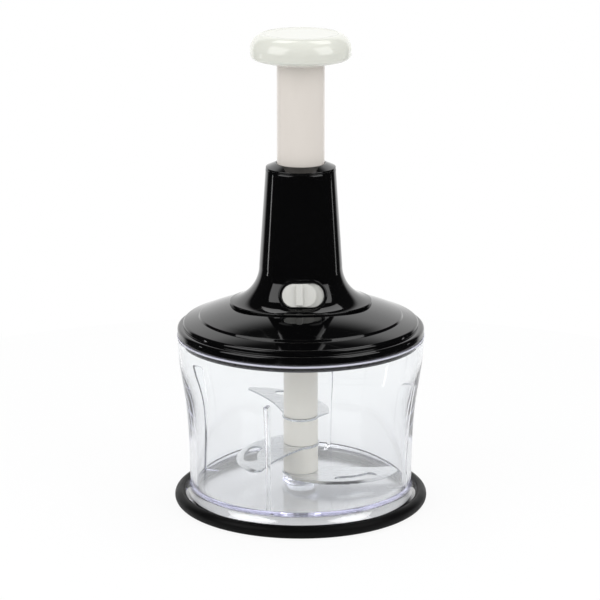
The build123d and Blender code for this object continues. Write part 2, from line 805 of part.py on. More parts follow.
def make_tower_collar():
    """Collar pressed into the top of the tower: it guides the tube and is the plunger's upper stop."""
    bore = tube_radius + slide_clearance
    skirt_radius = tower_radius(tower_top) - tower_wall - foot_clearance
    outline = [
        Line((bore, collar_bottom), (skirt_radius, collar_bottom)),
        Line((skirt_radius, collar_bottom), (skirt_radius, tower_top)),
        Line((skirt_radius, tower_top), (tower_top_radius, tower_top)),
        Line((tower_top_radius, tower_top), (tower_top_radius - foot_clearance, collar_flange_top)),
        Line((tower_top_radius - foot_clearance, collar_flange_top), (bore + collar_lip, collar_top)),
        Line((bore + collar_lip, collar_top), (bore, collar_top)),
        Line((bore, collar_top), (bore, collar_bottom)),
    ]
    return revolved(outline)


def make_guide_sleeve():
    """Liner inside the tower with two keyways that keep the plunger from turning."""
    sleeve = ring(sleeve_inner_radius, sleeve_outer_radius, sleeve_bottom, collar_bottom - seat_gap)
    sleeve += ring(sleeve_inner_radius, sleeve_floor_radius, sleeve_bottom, sleeve_floor_top)
    keyway_height = stop_flange_top - sleeve_floor_top + keyway_clearance
    keyway = Pos(0, 0, sleeve_floor_top + keyway_height / 2) * Box(
        4 * key_reach, key_width + 2 * keyway_clearance, keyway_height
    )
    tube_pass = ring(0, lock_big_radius(), sleeve_bottom - cut_margin, sleeve_floor_top + cut_margin)
    return sleeve - keyway - tube_pass


def make_lock_carrier():
    """Moulded ring standing on the dome that carries the lock plate and the guide sleeve."""
    outer = sleeve_floor_radius
    rim_inner = outer - carrier_wall
    ledge_top = lock_plate_bottom - slide_clearance / 3
    base = dome_height(rim_inner) + seat_gap
    carrier = ring(rim_inner, outer, base, sleeve_bottom)
    carrier += ring(lock_big_radius() + carrier_wall, outer, ledge_top - carrier_step, ledge_top)
    return carrier - arm_slot(lock_face_offset)


# ---------------------------------------------------------------------------------------------- lock
def lock_big_radius():
    """Radius of the lock plate's opening that lets the tube pass."""
    return tube_radius + lock_release_clearance


def lock_small_radius():
    """Radius of the lock plate's notch that enters the tube's groove."""
    return tube_radius - groove_depth + lock_groove_clearance


def lock_arm_reach():
    """Distance from the axis to the front of the lock plate's arm, just behind the slide's bezel."""
    return lock_face_offset - lock_rim - bezel_thickness - button_clearance


def lock_tongue_reach():
    """Distance from the axis to the tip of the arm's tongue, inside the thumb slide."""
    return lock_face_offset - lock_rim + lock_button_thickness / 2


def make_lock_plate():
    """Keyhole plate round the tube, shifted sideways by the slide, with an arm out to the button."""
    big = lock_big_radius()
    small = lock_small_radius()
    body = Circle(big + lock_web) + Pos(-lock_travel, 0) * Circle(small + lock_web)
    arm = Pos(-lock_travel / 2, -lock_arm_reach() / 2) * Rectangle(lock_arm_width, lock_arm_reach())
    tongue = Pos(-lock_travel / 2, -lock_tongue_reach() / 2) * Rectangle(lock_tongue_width, lock_tongue_reach())
    opening = Circle(big) + Pos(-lock_travel, 0) * Circle(small)
    plate = body + arm + tongue - opening
    return Pos(0, 0, lock_plate_bottom) * extrude(plate, lock_plate_thickness)


def make_lock_bezel():
    """White stadium plate at the bottom of the lock recess, with a slot for the slide's neck."""
    bezel = lock_block(lock_length, lock_height, -lock_rim - bezel_thickness, -lock_rim)
    return bezel - arm_slot(lock_face_offset + lock_height)


def make_lock_button():
    """White thumb slide: stadium pad with one upright ridge, resting at the left of its recess."""
    base = -lock_rim + seat_gap
    start = Pos(-lock_travel / 2, 0, 0)
    length = lock_length - lock_travel - 2 * button_clearance
    button = extrude(
        Pos(0, 0, base) * SlotOverall(length, lock_height - 2 * button_clearance), lock_button_thickness
    )
    top = base + lock_button_thickness
    ridge = Pos(0, 0, top) * extrude(
        RectangleRounded(ridge_width, lock_height - 4 * button_clearance, ridge_width / 4), ridge_rise
    )
    ridge = chamfer(ridge.edges().group_by(Axis.Z)[-1], ridge_rise / 3)
    button = lock_plane() * start * (button + ridge)
    pocket_depth = 2 * lock_button_thickness
    pocket = Pos(-lock_travel / 2, pocket_depth / 2 - seat_gap - lock_tongue_reach(), lock_height_centre) * Box(
        lock_tongue_width + seat_gap, pocket_depth, lock_plate_thickness + seat_gap
    )
    return button - pocket


# -------------------------------------------------------------------------------------------- plunger
def make_plunger_tube():
    """Plunger tube with a plugged top, the stop flange with two keys, and the lock groove in its nose."""
    tube = ring(0, tube_radius, tube_bottom, tube_top)
    tube += ring(0, stop_flange_radius, stop_flange_bottom, stop_flange_top)
    keys = Pos(0, 0, (stop_flange_bottom + stop_flange_top) / 2) * Box(
        2 * key_reach, key_width, stop_flange_height
    )
    tube += keys & ring(0, key_reach, stop_flange_bottom, stop_flange_top)
    tube -= ring(0, tube_bore, tube_bottom - cut_margin, tube_top - tube_plug)
    tube -= ring(tube_radius - groove_depth, stop_flange_radius, groove_bottom, groove_top)
    return tube - ring(0, screw_shank_radius, tube_top - tube_plug - cut_margin, tube_top + cut_margin)


def make_drive_nut():
    """Acetal nut in the nose of the tube, with a twisted hole that fits the drive bar."""
    nut = ring(0, tube_bore - nut_fit, tube_bottom, nut_top)
    return nut - twisted_bar(tube_bottom - cut_margin, nut_top + cut_margin, bar_clearance)


def make_knob():
    """Round palm knob: conical underside, near-upright side, rounded shoulder, hollow under its cap."""
    side_low = knob_bottom + knob_side_low
    side_high = knob_bottom + knob_side_high
    cap_seat = knob_top - cap_thickness
    socket_radius = tube_radius + foot_clearance
    floor_level = tube_top + knob_floor
    outline = [
        Line((socket_radius, knob_bottom), (knob_skirt_radius, knob_bottom)),
        Line((knob_skirt_radius, knob_bottom), (knob_under_radius, knob_bottom + knob_skirt_rise)),
        ThreePointArc(
            (knob_under_radius, knob_bottom + knob_skirt_rise),
            (knob_radius - (knob_radius - knob_under_radius) * 0.25, (side_low + knob_bottom + knob_skirt_rise) / 2),
            (knob_radius, side_low),
        ),
        Line((knob_radius, side_low), (knob_radius, side_high)),
        ThreePointArc(
            (knob_radius, side_high),
            (knob_radius - (knob_radius - cap_radius) * 0.24, side_high + (knob_top - side_high) * 0.64),
            (cap_radius + cap_clearance, knob_top),
        ),
        Line((cap_radius + cap_clearance, knob_top), (cap_radius + cap_clearance, cap_seat)),
        Line((cap_radius + cap_clearance, cap_seat), (cap_radius - knob_shell / 2, cap_seat)),
        Line((cap_radius - knob_shell / 2, cap_seat), (cap_radius - knob_shell / 2, floor_level)),
        Line((cap_radius - knob_shell / 2, floor_level), (0, floor_level)),
        Line((0, floor_level), (0, tube_top)),
        Line((0, tube_top), (socket_radius, tube_top)),
        Line((socket_radius, tube_top), (socket_radius, knob_bottom)),
    ]
    knob = revolved(outline)
    return knob - ring(0, screw_shank_radius + screw_hole_clearance, tube_top - cut_margin, floor_level + cut_margin)


def make_knob_cap():
    """Slightly dished disc that closes the knob and hides its screw."""
    bottom = knob_top - cap_thickness
    dish_radius = cap_radius - knob_shell
    outline = [
        Line((0, bottom), (cap_radius, bottom)),
        Line((cap_radius, bottom), (cap_radius, knob_top)),
        Line((cap_radius, knob_top), (dish_radius, knob_top - cap_dish)),
        Line((dish_radius, knob_top - cap_dish), (0, knob_top - cap_dish)),
        Line((0, knob_top - cap_dish), (0, bottom)),
    ]
    return revolved(outline)


def make_knob_screw():
    """Screw through the floor of the knob into the plug of the tube."""
    return pan_screw(tube_top + knob_floor, knob_floor + tube_plug - cut_margin, False)


# ------------------------------------------------------------------------------------------ drive train
def make_drive_bar():
    """Twisted flat bar with a thrust flange and journal below and a riveting stub above."""
    bar = twisted_bar(bar_flange_top, bar_top, 0)
    bar += ring(0, bar_flange_radius, bar_flange_bottom, bar_flange_top)
    bar += ring(0, journal_radius, coupling_top, bar_flange_bottom)
    shank = RegularPolygon(shank_across_flats / 2, 6, major_radius=False)
    bar += Pos(0, 0, shank_bottom) * extrude(shank, coupling_top - shank_bottom)
    bar += ring(0, stub_radius, bar_top, bar_top + guide_disc_height)
    return bar - ring(0, screw_shank_radius, shank_bottom - cut_margin, coupling_screw_seat + coupling_screw_length)


def make_guide_disc():
    """Disc riveted on top of the drive bar that keeps it central in the tube."""
    return ring(stub_radius, tube_bore - slide_clearance, bar_top, bar_top + guide_disc_height)


def make_drive_coupling():
    """White hexagonal coupling on the lower end of the bar that enters the socket of the column."""
    flats = coupling_across_flats / 2
    plug = Pos(0, 0, coupling_bottom) * extrude(
        RegularPolygon(flats, 6, major_radius=False), coupling_flange_bottom - coupling_bottom
    )
    plug = chamfer(plug.edges().group_by(Axis.Z)[0], coupling_flange_height / 3)
    coupling = plug + ring(0, coupling_flange_radius, coupling_flange_bottom, coupling_top)
    shank = RegularPolygon(shank_across_flats / 2, 6, major_radius=False)
    coupling -= Pos(0, 0, shank_bottom) * extrude(shank, coupling_top - shank_bottom)
    coupling -= ring(0, screw_head_radius + screw_hole_clearance, coupling_bottom - cut_margin, coupling_screw_seat)
    return coupling - ring(0, screw_shank_radius, coupling_bottom, shank_bottom)


def make_coupling_screw():
    """Screw from below that holds the coupling on the shank of the drive bar."""
    return pan_screw(coupling_screw_seat, coupling_screw_length - seat_gap, True)


def make_return_spring():
    """Compression spring round the drive bar, from its seat in the well up to the nose of the tube."""
    wire_half = spring_wire / 2
    height = spring_top - spring_bottom - spring_wire
    path = Pos(0, 0, spring_bottom + wire_half) * Helix(height / spring_turns, height, spring_radius)
    start = Plane(origin=path @ 0, z_dir=path % 0)
    return sweep(start * Circle(wire_half), path, is_frenet=True)


def make_spring_seat():
    """Steel washer in the well under the spring."""
    outer = well_radius - seat_gap
    return ring(outer - spring_seat_wall, outer, well_floor_top, spring_seat_top)


# --------------------------------------------------------------------------------------------- all nodes
parts = {
    "base_ring": make_base_ring(),
    "bowl": make_bowl(),
    "pivot_pin": make_pivot_pin(),
    "column_upper": make_column_upper(),
    "column_spacer_upper": make_spacer(middle_blade_top),
    "column_spacer_lower": make_spacer(lower_blade_top),
    "column_foot": make_column_foot(),
    "blade_lower": make_blade(lower_blade_bottom, lower_blade_angle, 0),
    "blade_middle": make_blade(middle_blade_bottom, middle_blade_angle, middle_blade_tilt),
    "blade_upper": make_blade(upper_blade_bottom, upper_blade_angle, upper_blade_tilt),
    "lid_cover": make_lid_cover(),
    "lid_plate": make_lid_plate(),
    "lid_seal": make_lid_seal(),
    "lid_plate_screws": make_plate_screws(),
    "tower_housing": make_tower(),
    "tower_collar": make_tower_collar(),
    "tower_screws": make_tower_screws(),
    "guide_sleeve": make_guide_sleeve(),
    "bearing_bush": make_bearing_bush(),
    "spring_seat": make_spring_seat(),
    "return_spring": make_return_spring(),
    "lock_carrier": make_lock_carrier(),
    "lock_bezel": make_lock_bezel(),
    "lock_plate": make_lock_plate(),
    "lock_button": make_lock_button(),
    "plunger_tube": make_plunger_tube(),
    "drive_nut": make_drive_nut(),
    "knob": make_knob(),
    "knob_cap": make_knob_cap(),
    "knob_screw": make_knob_screw(),
    "drive_bar": make_drive_bar(),
    "guide_disc": make_guide_disc(),
    "drive_coupling": make_drive_coupling(),
    "coupling_screw": make_coupling_screw(),
}

os.makedirs("parts", exist_ok=True)
for name, shape in parts.items():
    export_step(shape, f"parts/{name}.step")
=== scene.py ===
import math

import bpy
import numpy as np
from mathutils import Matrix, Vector


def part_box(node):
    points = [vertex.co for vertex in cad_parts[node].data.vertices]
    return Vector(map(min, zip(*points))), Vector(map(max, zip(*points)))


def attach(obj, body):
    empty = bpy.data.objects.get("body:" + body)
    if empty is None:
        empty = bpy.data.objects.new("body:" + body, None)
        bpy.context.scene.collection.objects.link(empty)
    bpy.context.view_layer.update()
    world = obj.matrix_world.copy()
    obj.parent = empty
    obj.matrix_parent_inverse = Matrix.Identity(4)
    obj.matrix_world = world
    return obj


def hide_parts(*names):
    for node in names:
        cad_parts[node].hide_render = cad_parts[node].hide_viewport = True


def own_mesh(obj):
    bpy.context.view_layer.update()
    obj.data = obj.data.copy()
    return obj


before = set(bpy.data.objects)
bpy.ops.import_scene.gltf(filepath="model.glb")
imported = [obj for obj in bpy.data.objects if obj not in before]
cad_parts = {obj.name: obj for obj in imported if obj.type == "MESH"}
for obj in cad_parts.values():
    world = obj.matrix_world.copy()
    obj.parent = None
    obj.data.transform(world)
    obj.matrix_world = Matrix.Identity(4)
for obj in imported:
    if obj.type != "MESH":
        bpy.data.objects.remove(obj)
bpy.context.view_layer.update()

# --------------------------------------------------------------------------------------------------
# Studio: a pale floor before a bright back wall, two softboxes in front, two high boxes behind, and
# two narrow strips at the sides.  The camera stands a little left of the front.  Light bounces often
# enough to run through the whole wall of a clear moulding.  Lengths here are in metres.
# --------------------------------------------------------------------------------------------------
VIEW_TURN = math.radians(2.5)
VIEW_PITCH = math.radians(14.75)
VIEW_DISTANCE = 1.529
VIEW_HEIGHT = 0.525
SENSOR_WIDTH = 36.0
FOCAL_LENGTH = 161.7
SIDE_SHIFT = -0.00125
NEAR_CLIP = 0.05
CLEAR_BOUNCES = 40
GLOSS_BOUNCES = 24

lens = bpy.data.cameras.new("studio_camera")
lens.sensor_width = SENSOR_WIDTH
lens.lens = FOCAL_LENGTH
lens.shift_x = SIDE_SHIFT
lens.clip_start = NEAR_CLIP
camera = bpy.data.objects.new("studio_camera", lens)
camera.location = (
    -math.sin(VIEW_TURN) * VIEW_DISTANCE, -math.cos(VIEW_TURN) * VIEW_DISTANCE, VIEW_HEIGHT,
)
camera.rotation_euler = (math.pi / 2 - VIEW_PITCH, 0.0, -VIEW_TURN)
bpy.context.scene.collection.objects.link(camera)
bpy.context.scene.camera = camera
bpy.context.scene.view_settings.view_transform = "Standard"
bpy.context.scene.cycles.max_bounces = CLEAR_BOUNCES
bpy.context.scene.cycles.transmission_bounces = CLEAR_BOUNCES
bpy.context.scene.cycles.glossy_bounces = GLOSS_BOUNCES
bpy.context.scene.cycles.transparent_max_bounces = GLOSS_BOUNCES

LAMP_AIM = Vector((0.0, 0.0, 0.13))
NEAR_LAMP = 0.85
FAR_LAMP = 1.5


def softbox(name, distance, azimuth, elevation, wide, high, radiance):
    """Area lamp aimed at the middle of the object.  Its place and its size are angles in degrees as
    seen from there, the azimuth counted from the front towards the right; its power is pi times
    radiance times area."""
    turn, rise = math.radians(azimuth), math.radians(elevation)
    way = Vector((
        math.sin(turn) * math.cos(rise), -math.cos(turn) * math.cos(rise), math.sin(rise),
    ))
    lamp = bpy.data.lights.new(name, "AREA")
    lamp.shape = "RECTANGLE"
    lamp.size = 2 * distance * math.tan(math.radians(wide / 2))
    lamp.size_y = 2 * distance * math.tan(math.radians(high / 2))
    lamp.energy = math.pi * radiance * lamp.size * lamp.size_y
    thing = bpy.data.objects.new(name, lamp)
    thing.location = LAMP_AIM + way * distance
    thing.rotation_euler = (-way).to_track_quat("-Z", "Y").to_euler()
    bpy.context.scene.collection.objects.link(thing)


for lamp_values in (
    ("softbox_left", NEAR_LAMP, -60, 31, 40, 44, 2.1),
    ("softbox_right", NEAR_LAMP, 56, 31, 34, 44, 2.1),
    ("high_box_left", FAR_LAMP, -146, 66, 21, 20, 2.4),
    ("high_box_right", FAR_LAMP, 123, 64, 26, 22, 2.3),
    ("strip_left", FAR_LAMP, -105, -8, 3.5, 7, 3.4),
    ("strip_right", FAR_LAMP, 112, -9, 3.5, 7, 1.6),
):
    softbox(*lamp_values)


def node_tree(owner):
    """Empty node tree of a material or world."""
    owner.use_nodes = True
    owner.node_tree.nodes.clear()
    return owner.node_tree


def set_inputs(node, values):
    """Plain values written on a node's own sockets."""
    for key, value in values.items():
        node.inputs[key].default_value = value


def spread(tree, value, source, target, smooth=False):
    """Number carried from the range source to the range target and kept inside it."""
    node = tree.nodes.new("ShaderNodeMapRange")
    if smooth:
        node.interpolation_type = "SMOOTHSTEP"
    set_inputs(node, {"From Min": source[0], "From Max": source[1]})
    set_inputs(node, {"To Min": target[0], "To Max": target[1]})
    tree.links.new(value, node.inputs["Value"])
    return node.outputs["Result"]


def larger(tree, first, second):
    """The larger of two numbers."""
    most = tree.nodes.new("ShaderNodeMath")
    most.operation = "MAXIMUM"
    tree.links.new(first, most.inputs[0])
    tree.links.new(second, most.inputs[1])
    return most.outputs[0]


def mixed(tree, share, first, second):
    """Mix of two shaders: all first where the share is 0, all second where it is 1."""
    mix = tree.nodes.new("ShaderNodeMixShader")
    tree.links.new(share, mix.inputs[0])
    tree.links.new(first.outputs[0], mix.inputs[1])
    tree.links.new(second.outputs[0], mix.inputs[2])
    return mix


WHITE = (1.0, 1.0, 1.0, 1.0)
EVEN_LIGHT = 0.69
ROOM_LIGHT = 0.02
WALL_LIGHT = 1.1
WALL_EDGE = (0.64, 0.80)


def white_light(tree, kind, strength=1.0):
    """White background or emission of one strength."""
    light = tree.nodes.new(kind)
    set_inputs(light, {"Color": WHITE, "Strength": strength})
    return light


def studio_world():
    """World: even soft light for matt surfaces, a white backdrop for the camera and through clear
    plastic, and for gloss a dark room with a round white wall behind the object, soft at its edge."""
    world = bpy.data.worlds.new("studio_world")
    bpy.context.scene.world = world
    tree = node_tree(world)
    path = tree.nodes.new("ShaderNodeLightPath")
    where = tree.nodes.new("ShaderNodeTexCoord")
    split = tree.nodes.new("ShaderNodeSeparateXYZ")
    tree.links.new(where.outputs["Generated"], split.inputs[0])
    wall = spread(tree, split.outputs["Y"], WALL_EDGE, (ROOM_LIGHT, WALL_LIGHT), smooth=True)
    even = white_light(tree, "ShaderNodeBackground", EVEN_LIGHT)
    room = white_light(tree, "ShaderNodeBackground")
    tree.links.new(wall, room.inputs["Strength"])
    lit = mixed(tree, path.outputs["Is Glossy Ray"], even, room)
    seen = larger(tree, path.outputs["Is Camera Ray"], path.outputs["Is Transmission Ray"])
    backed = mixed(tree, seen, lit, white_light(tree, "ShaderNodeBackground"))
    out = tree.nodes.new("ShaderNodeOutputWorld")
    tree.links.new(backed.outputs[0], out.inputs["Surface"])


studio_world()

FLOOR_TONE = (0.86, 0.865, 0.87, 1.0)
FLOOR_WHITE = 0.90
FLOOR_RADIUS = 0.42
FLOOR_DROP = 0.0002


def show(tree, shader):
    """The shader made the material's surface."""
    out = tree.nodes.new("ShaderNodeOutputMaterial")
    tree.links.new(shader.outputs[0], out.inputs["Surface"])
    return out


def floor_material():
    """Pale floor: nearly white as seen by the camera, lit and shaded as it is through clear plastic."""
    material = bpy.data.materials.new("studio_floor")
    tree = node_tree(material)
    path = tree.nodes.new("ShaderNodeLightPath")
    matt = tree.nodes.new("ShaderNodeBsdfDiffuse")
    set_inputs(matt, {"Color": FLOOR_TONE})
    share = tree.nodes.new("ShaderNodeMath")
    share.operation = "MULTIPLY"
    share.inputs[1].default_value = FLOOR_WHITE
    tree.links.new(path.outputs["Is Camera Ray"], share.inputs[0])
    show(tree, mixed(tree, share.outputs[0], matt, white_light(tree, "ShaderNodeEmission")))
    return material


def put_surface(name, grid, material, wrap_rows=True):
    """Mesh object from a grid of points in metres, rows along an outline and columns round the axis.
    Point (i, j) is joined to (i, j+1), (i+1, j+1) and (i+1, j) by one face; columns always close on
    themselves, rows close where wrap_rows is set, and a row whose points coincide becomes one point.
    The faces are turned so that the closed surface encloses a positive volume."""
    rows, columns = grid.shape[:2]
    index = np.arange(rows * columns).reshape(rows, columns)
    spans = np.linalg.norm(grid - grid[:, :1], axis=2).max(axis=1)
    index[spans < 1e-9] = index[spans < 1e-9][:, :1]
    low = index if wrap_rows else index[:-1]
    high = np.roll(index, -1, axis=0) if wrap_rows else index[1:]
    corners = np.stack([
        low, np.roll(low, -1, axis=1), np.roll(high, -1, axis=1), high,
    ], axis=-1).reshape(-1, 4)
    points = grid.reshape(-1, 3)
    a, b, c, d = (points[corners[:, k]] for k in range(4))
    volume = np.einsum("ij,ij->i", a, np.cross(b, c) + np.cross(c, d)).sum()
    if volume < 0:
        corners = corners[:, ::-1]
    same = corners == np.roll(corners, -1, axis=1)
    full = corners[~same.any(axis=1)]
    thin = corners[same.sum(axis=1) == 1]
    keep = ~(thin == np.roll(thin, -1, axis=1))
    thin = thin[keep].reshape(-1, 3)
    used, flat = np.unique(np.concatenate([full.ravel(), thin.ravel()]), return_inverse=True)
    starts = np.concatenate([np.arange(len(full)) * 4, len(full) * 4 + np.arange(len(thin)) * 3])
    mesh = bpy.data.meshes.new(name)
    mesh.vertices.add(len(used))
    mesh.vertices.foreach_set("co", points[used].ravel())
    mesh.loops.add(len(flat))
    mesh.loops.foreach_set("vertex_index", flat.astype(np.int32))
    mesh.polygons.add(len(starts))
    mesh.polygons.foreach_set("loop_start", starts.astype(np.int32))
    mesh.polygons.foreach_set("use_smooth", np.ones(len(starts), bool))
    mesh.update(calc_edges=True)
    mesh.materials.append(material)
    piece = bpy.data.objects.new(name, mesh)
    bpy.context.scene.collection.objects.link(piece)
    return piece


floor_rings = np.linspace(0.0, FLOOR_RADIUS, 8)
floor_turns = np.linspace(0.0, 2 * math.pi, 96, endpoint=False)
floor_grid = np.stack([
    np.outer(floor_rings, np.cos(floor_turns)), np.outer(floor_rings, np.sin(floor_turns)),
    np.full((len(floor_rings), len(floor_turns)), -FLOOR_DROP),
], axis=-1)
floor = put_surface("studio_floor", floor_grid, floor_material(), wrap_rows=False)

# --------------------------------------------------------------------------------------------------
# Base ring: a matt black rubber ring pressed over the foot of the bowl, round on its outside.  It is
# moulded in one piece, with a fine pebbled skin.  Sizes are in millimetres from here on.
# --------------------------------------------------------------------------------------------------
ring_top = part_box("base_ring")[1]
RING_RADIUS = ring_top.x * 1000
RING_HEIGHT = ring_top.z * 1000
RING_INNER = 66.0
RING_INNER_HEIGHT = 5.0
RING_FIT = 0.1
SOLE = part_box("bowl")[0].z * 1000
SOLE_ROUND = 1.2
FOOT_RADIUS = 69.6
FOOT_INNER = 67.7


def rounded(corners, steps=7, guard=0.12):
    """Outline in millimetres from (radius, height, rounding) corners: each corner becomes an arc
    tangent to its two sides, with one guard point beside each end of the arc that keeps the flat
    sides flat."""
    places = np.array([corner[:2] for corner in corners], float)
    line = []
    for number, (x, z, radius) in enumerate(corners):
        here = np.array([x, z], float)
        if radius <= 0:
            line.append(here[None])
            continue
        to_last = places[number - 1] - here
        to_next = places[(number + 1) % len(places)] - here
        room = 0.49 * min(np.linalg.norm(to_last), np.linalg.norm(to_next))
        u, v = to_last / np.linalg.norm(to_last), to_next / np.linalg.norm(to_next)
        half = math.acos(float(np.clip(u @ v, -1, 1))) / 2
        reach = min(radius / math.tan(half), room)
        radius = reach * math.tan(half)
        centre = here + (u + v) / np.linalg.norm(u + v) * (radius / math.sin(half))
        start, end = here + u * reach - centre, here + v * reach - centre
        sweep = math.pi - 2 * half
        share = np.linspace(0.0, 1.0, steps)[:, None]
        arc = np.sin((1 - share) * sweep) * start + np.sin(share * sweep) * end
        arc = arc / math.sin(sweep) + centre
        if room > reach + guard:
            before, after = here + u * (reach + guard), here + v * (reach + guard)
            arc = np.concatenate([before[None], arc, after[None]])
        line.append(arc)
    return np.concatenate(line)


def turned(outline, columns=256):
    """Grid of a surface of revolution: each (radius, height) point carried round the axis."""
    turns = np.linspace(0.0, 2 * math.pi, columns, endpoint=False)
    radius, height = outline[:, :1] / 1000.0, outline[:, 1:] / 1000.0
    return np.stack([
        radius * np.cos(turns), radius * np.sin(turns), height + 0.0 * turns,
    ], axis=-1)


def paint(red, green, blue):
    """Linear colour of a paint written as it looks on a screen, 0 to 255."""
    tone = np.array([red, green, blue]) / 255.0
    tone = np.where(tone <= 0.04045, tone / 12.92, ((tone + 0.055) / 1.055) ** 2.4)
    return (*tone.tolist(), 1.0)


def new_group(name, inputs, outputs):
    """Empty shader group with number sockets, its input node and its output node."""
    group = bpy.data.node_groups.new(name, "ShaderNodeTree")
    for label, value in inputs.items():
        socket = group.interface.new_socket(label, in_out="INPUT", socket_type="NodeSocketFloat")
        socket.default_value = value
    for label in outputs:
        group.interface.new_socket(label, in_out="OUTPUT", socket_type="NodeSocketFloat")
    return group, group.nodes.new("NodeGroupInput"), group.nodes.new("NodeGroupOutput")


def mottle_group():
    """Shared effect: slow cloudy variation and fine grain in object space, their sizes as inputs."""
    group, inside, outside = new_group(
        "surface_mottle", {"Cloud Scale": 40.0, "Grain Scale": 2200.0}, ("Cloud", "Grain"))
    where = group.nodes.new("ShaderNodeTexCoord")
    for label, detail in (("Cloud", 4.0), ("Grain", 2.0)):
        noise = group.nodes.new("ShaderNodeTexNoise")
        set_inputs(noise, {"Detail": detail, "Roughness": 0.55})
        group.links.new(where.outputs["Object"], noise.inputs["Vector"])
        group.links.new(inside.outputs[label + " Scale"], noise.inputs["Scale"])
        group.links.new(noise.outputs["Fac"], outside.inputs[label])
    return group


MARK_LEVEL = 0.62
MARK_WIDTH = 0.006


def size_of(tree, value):
    """A number without its sign."""
    size = tree.nodes.new("ShaderNodeMath")
    size.operation = "ABSOLUTE"
    tree.links.new(value, size.inputs[0])
    return size.outputs[0]


def scratch_group():
    """Shared effect: sparse hairline handling marks, the thin lines along which either of two
    stretched noises comes close to one level."""
    group, inside, outside = new_group("hairline_marks", {"Scale": 60.0}, ("Marks",))
    where = group.nodes.new("ShaderNodeTexCoord")
    lines = []
    for turn, stretch in ((0.5, (1.0, 1.0, 0.08)), (2.1, (0.12, 1.0, 1.0))):
        lay = group.nodes.new("ShaderNodeMapping")
        set_inputs(lay, {"Rotation": (turn, turn * 0.7, turn * 0.3), "Scale": stretch})
        group.links.new(where.outputs["Object"], lay.inputs["Vector"])
        noise = group.nodes.new("ShaderNodeTexNoise")
        set_inputs(noise, {"Detail": 1.0})
        group.links.new(lay.outputs[0], noise.inputs["Vector"])
        group.links.new(inside.outputs["Scale"], noise.inputs["Scale"])
        level = group.nodes.new("ShaderNodeMath")
        level.operation = "SUBTRACT"
        level.inputs[1].default_value = MARK_LEVEL
        group.links.new(noise.outputs["Fac"], level.inputs[0])
        off_level = size_of(group, level.outputs[0])
        lines.append(spread(group, off_level, (0.0, MARK_WIDTH), (1.0, 0.0)))
    group.links.new(larger(group, *lines), outside.inputs["Marks"])
    return group


MOTTLE = mottle_group()
SCRATCHES = scratch_group()
SCRATCH_SIZE = 45.0
CLOUD_RANGE = (0.2, 0.8)
SOFT_RADIUS = (1.0, 0.9, 0.8)
SOFT_DEPTH = 0.002


def placed(tree, group, values):
    """A shared group placed in a material with its own values."""
    node = tree.nodes.new("ShaderNodeGroup")
    node.node_tree = group
    set_inputs(node, values)
    return node


def toned(tree, skin, share, first, second):
    """Base colour between two tones: the first where the share is 0, the second where it is 1."""
    tone = tree.nodes.new("ShaderNodeMix")
    tone.data_type = "RGBA"
    tone.inputs[6].default_value = first
    tone.inputs[7].default_value = second
    tree.links.new(share, tone.inputs[0])
    tree.links.new(tone.outputs[2], skin.inputs["Base Color"])


def raised(tree, skin, height, strength, distance):
    """Relief on a skin from a height, its distance in metres."""
    relief = tree.nodes.new("ShaderNodeBump")
    set_inputs(relief, {"Strength": strength, "Distance": distance})
    tree.links.new(height, relief.inputs["Height"])
    tree.links.new(relief.outputs["Normal"], skin.inputs["Normal"])


def moulded(
    name, light, dark, gloss, bump=0.05, grain_size=2200.0, cloud_size=40.0, marks=0.0, soft=0.0,
    metal=0.0, shine=0.5, grain_height=0.00002,
):
    """Moulded or turned finish: colour clouds between two close tones, a roughness that wanders
    between two values or is plain where they are the same, a fine grain as bump, and hairline marks
    that are a little rougher than the skin."""
    material = bpy.data.materials.new(name)
    tree = node_tree(material)
    skin = tree.nodes.new("ShaderNodeBsdfPrincipled")
    set_inputs(skin, {"Metallic": metal, "Specular IOR Level": shine})
    if soft > 0:
        set_inputs(skin, {"Subsurface Weight": soft, "Subsurface Radius": SOFT_RADIUS})
        set_inputs(skin, {"Subsurface Scale": SOFT_DEPTH})
    mottle = placed(tree, MOTTLE, {"Cloud Scale": cloud_size, "Grain Scale": grain_size})
    toned(tree, skin, mottle.outputs["Cloud"], light, dark)
    if gloss[0] == gloss[1]:
        set_inputs(skin, {"Roughness": gloss[0]})
    else:
        rough = spread(tree, mottle.outputs["Cloud"], CLOUD_RANGE, gloss, smooth=True)
        if marks > 0:
            scratch = placed(tree, SCRATCHES, {"Scale": SCRATCH_SIZE})
            add = tree.nodes.new("ShaderNodeMath")
            add.operation = "MULTIPLY_ADD"
            add.inputs[1].default_value = marks
            tree.links.new(scratch.outputs["Marks"], add.inputs[0])
            tree.links.new(rough, add.inputs[2])
            rough = add.outputs[0]
        tree.links.new(rough, skin.inputs["Roughness"])
    raised(tree, skin, mottle.outputs["Grain"], bump, grain_height)
    show(tree, skin)
    return material


rubber = moulded(
    "black_rubber", paint(7, 7, 8), paint(12, 12, 12), (0.34, 0.48), bump=0.4, shine=0.10,
    grain_size=1500.0, cloud_size=70.0, grain_height=0.00008,
)
ring_crown = RING_HEIGHT / 2
ring_turn = np.linspace(-math.pi / 2, math.pi / 2, 25)
ring_outside = np.stack([
    RING_RADIUS - ring_crown + ring_crown * np.cos(ring_turn),
    ring_crown + ring_crown * np.sin(ring_turn),
], axis=-1)
ring_inside = rounded([
    (FOOT_RADIUS + RING_FIT, RING_HEIGHT, 0.3), (FOOT_RADIUS + RING_FIT, SOLE, 0.0),
    (FOOT_INNER - RING_FIT, SOLE, 0.0), (FOOT_INNER - RING_FIT, RING_INNER_HEIGHT, 0.3),
    (RING_INNER, RING_INNER_HEIGHT, 0.5), (RING_INNER, 0.0, SOLE_ROUND),
])
ring_outline = np.concatenate([ring_outside, ring_inside])
base_ring = put_surface("base_ring_soft", turned(ring_outline), rubber)
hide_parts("base_ring")
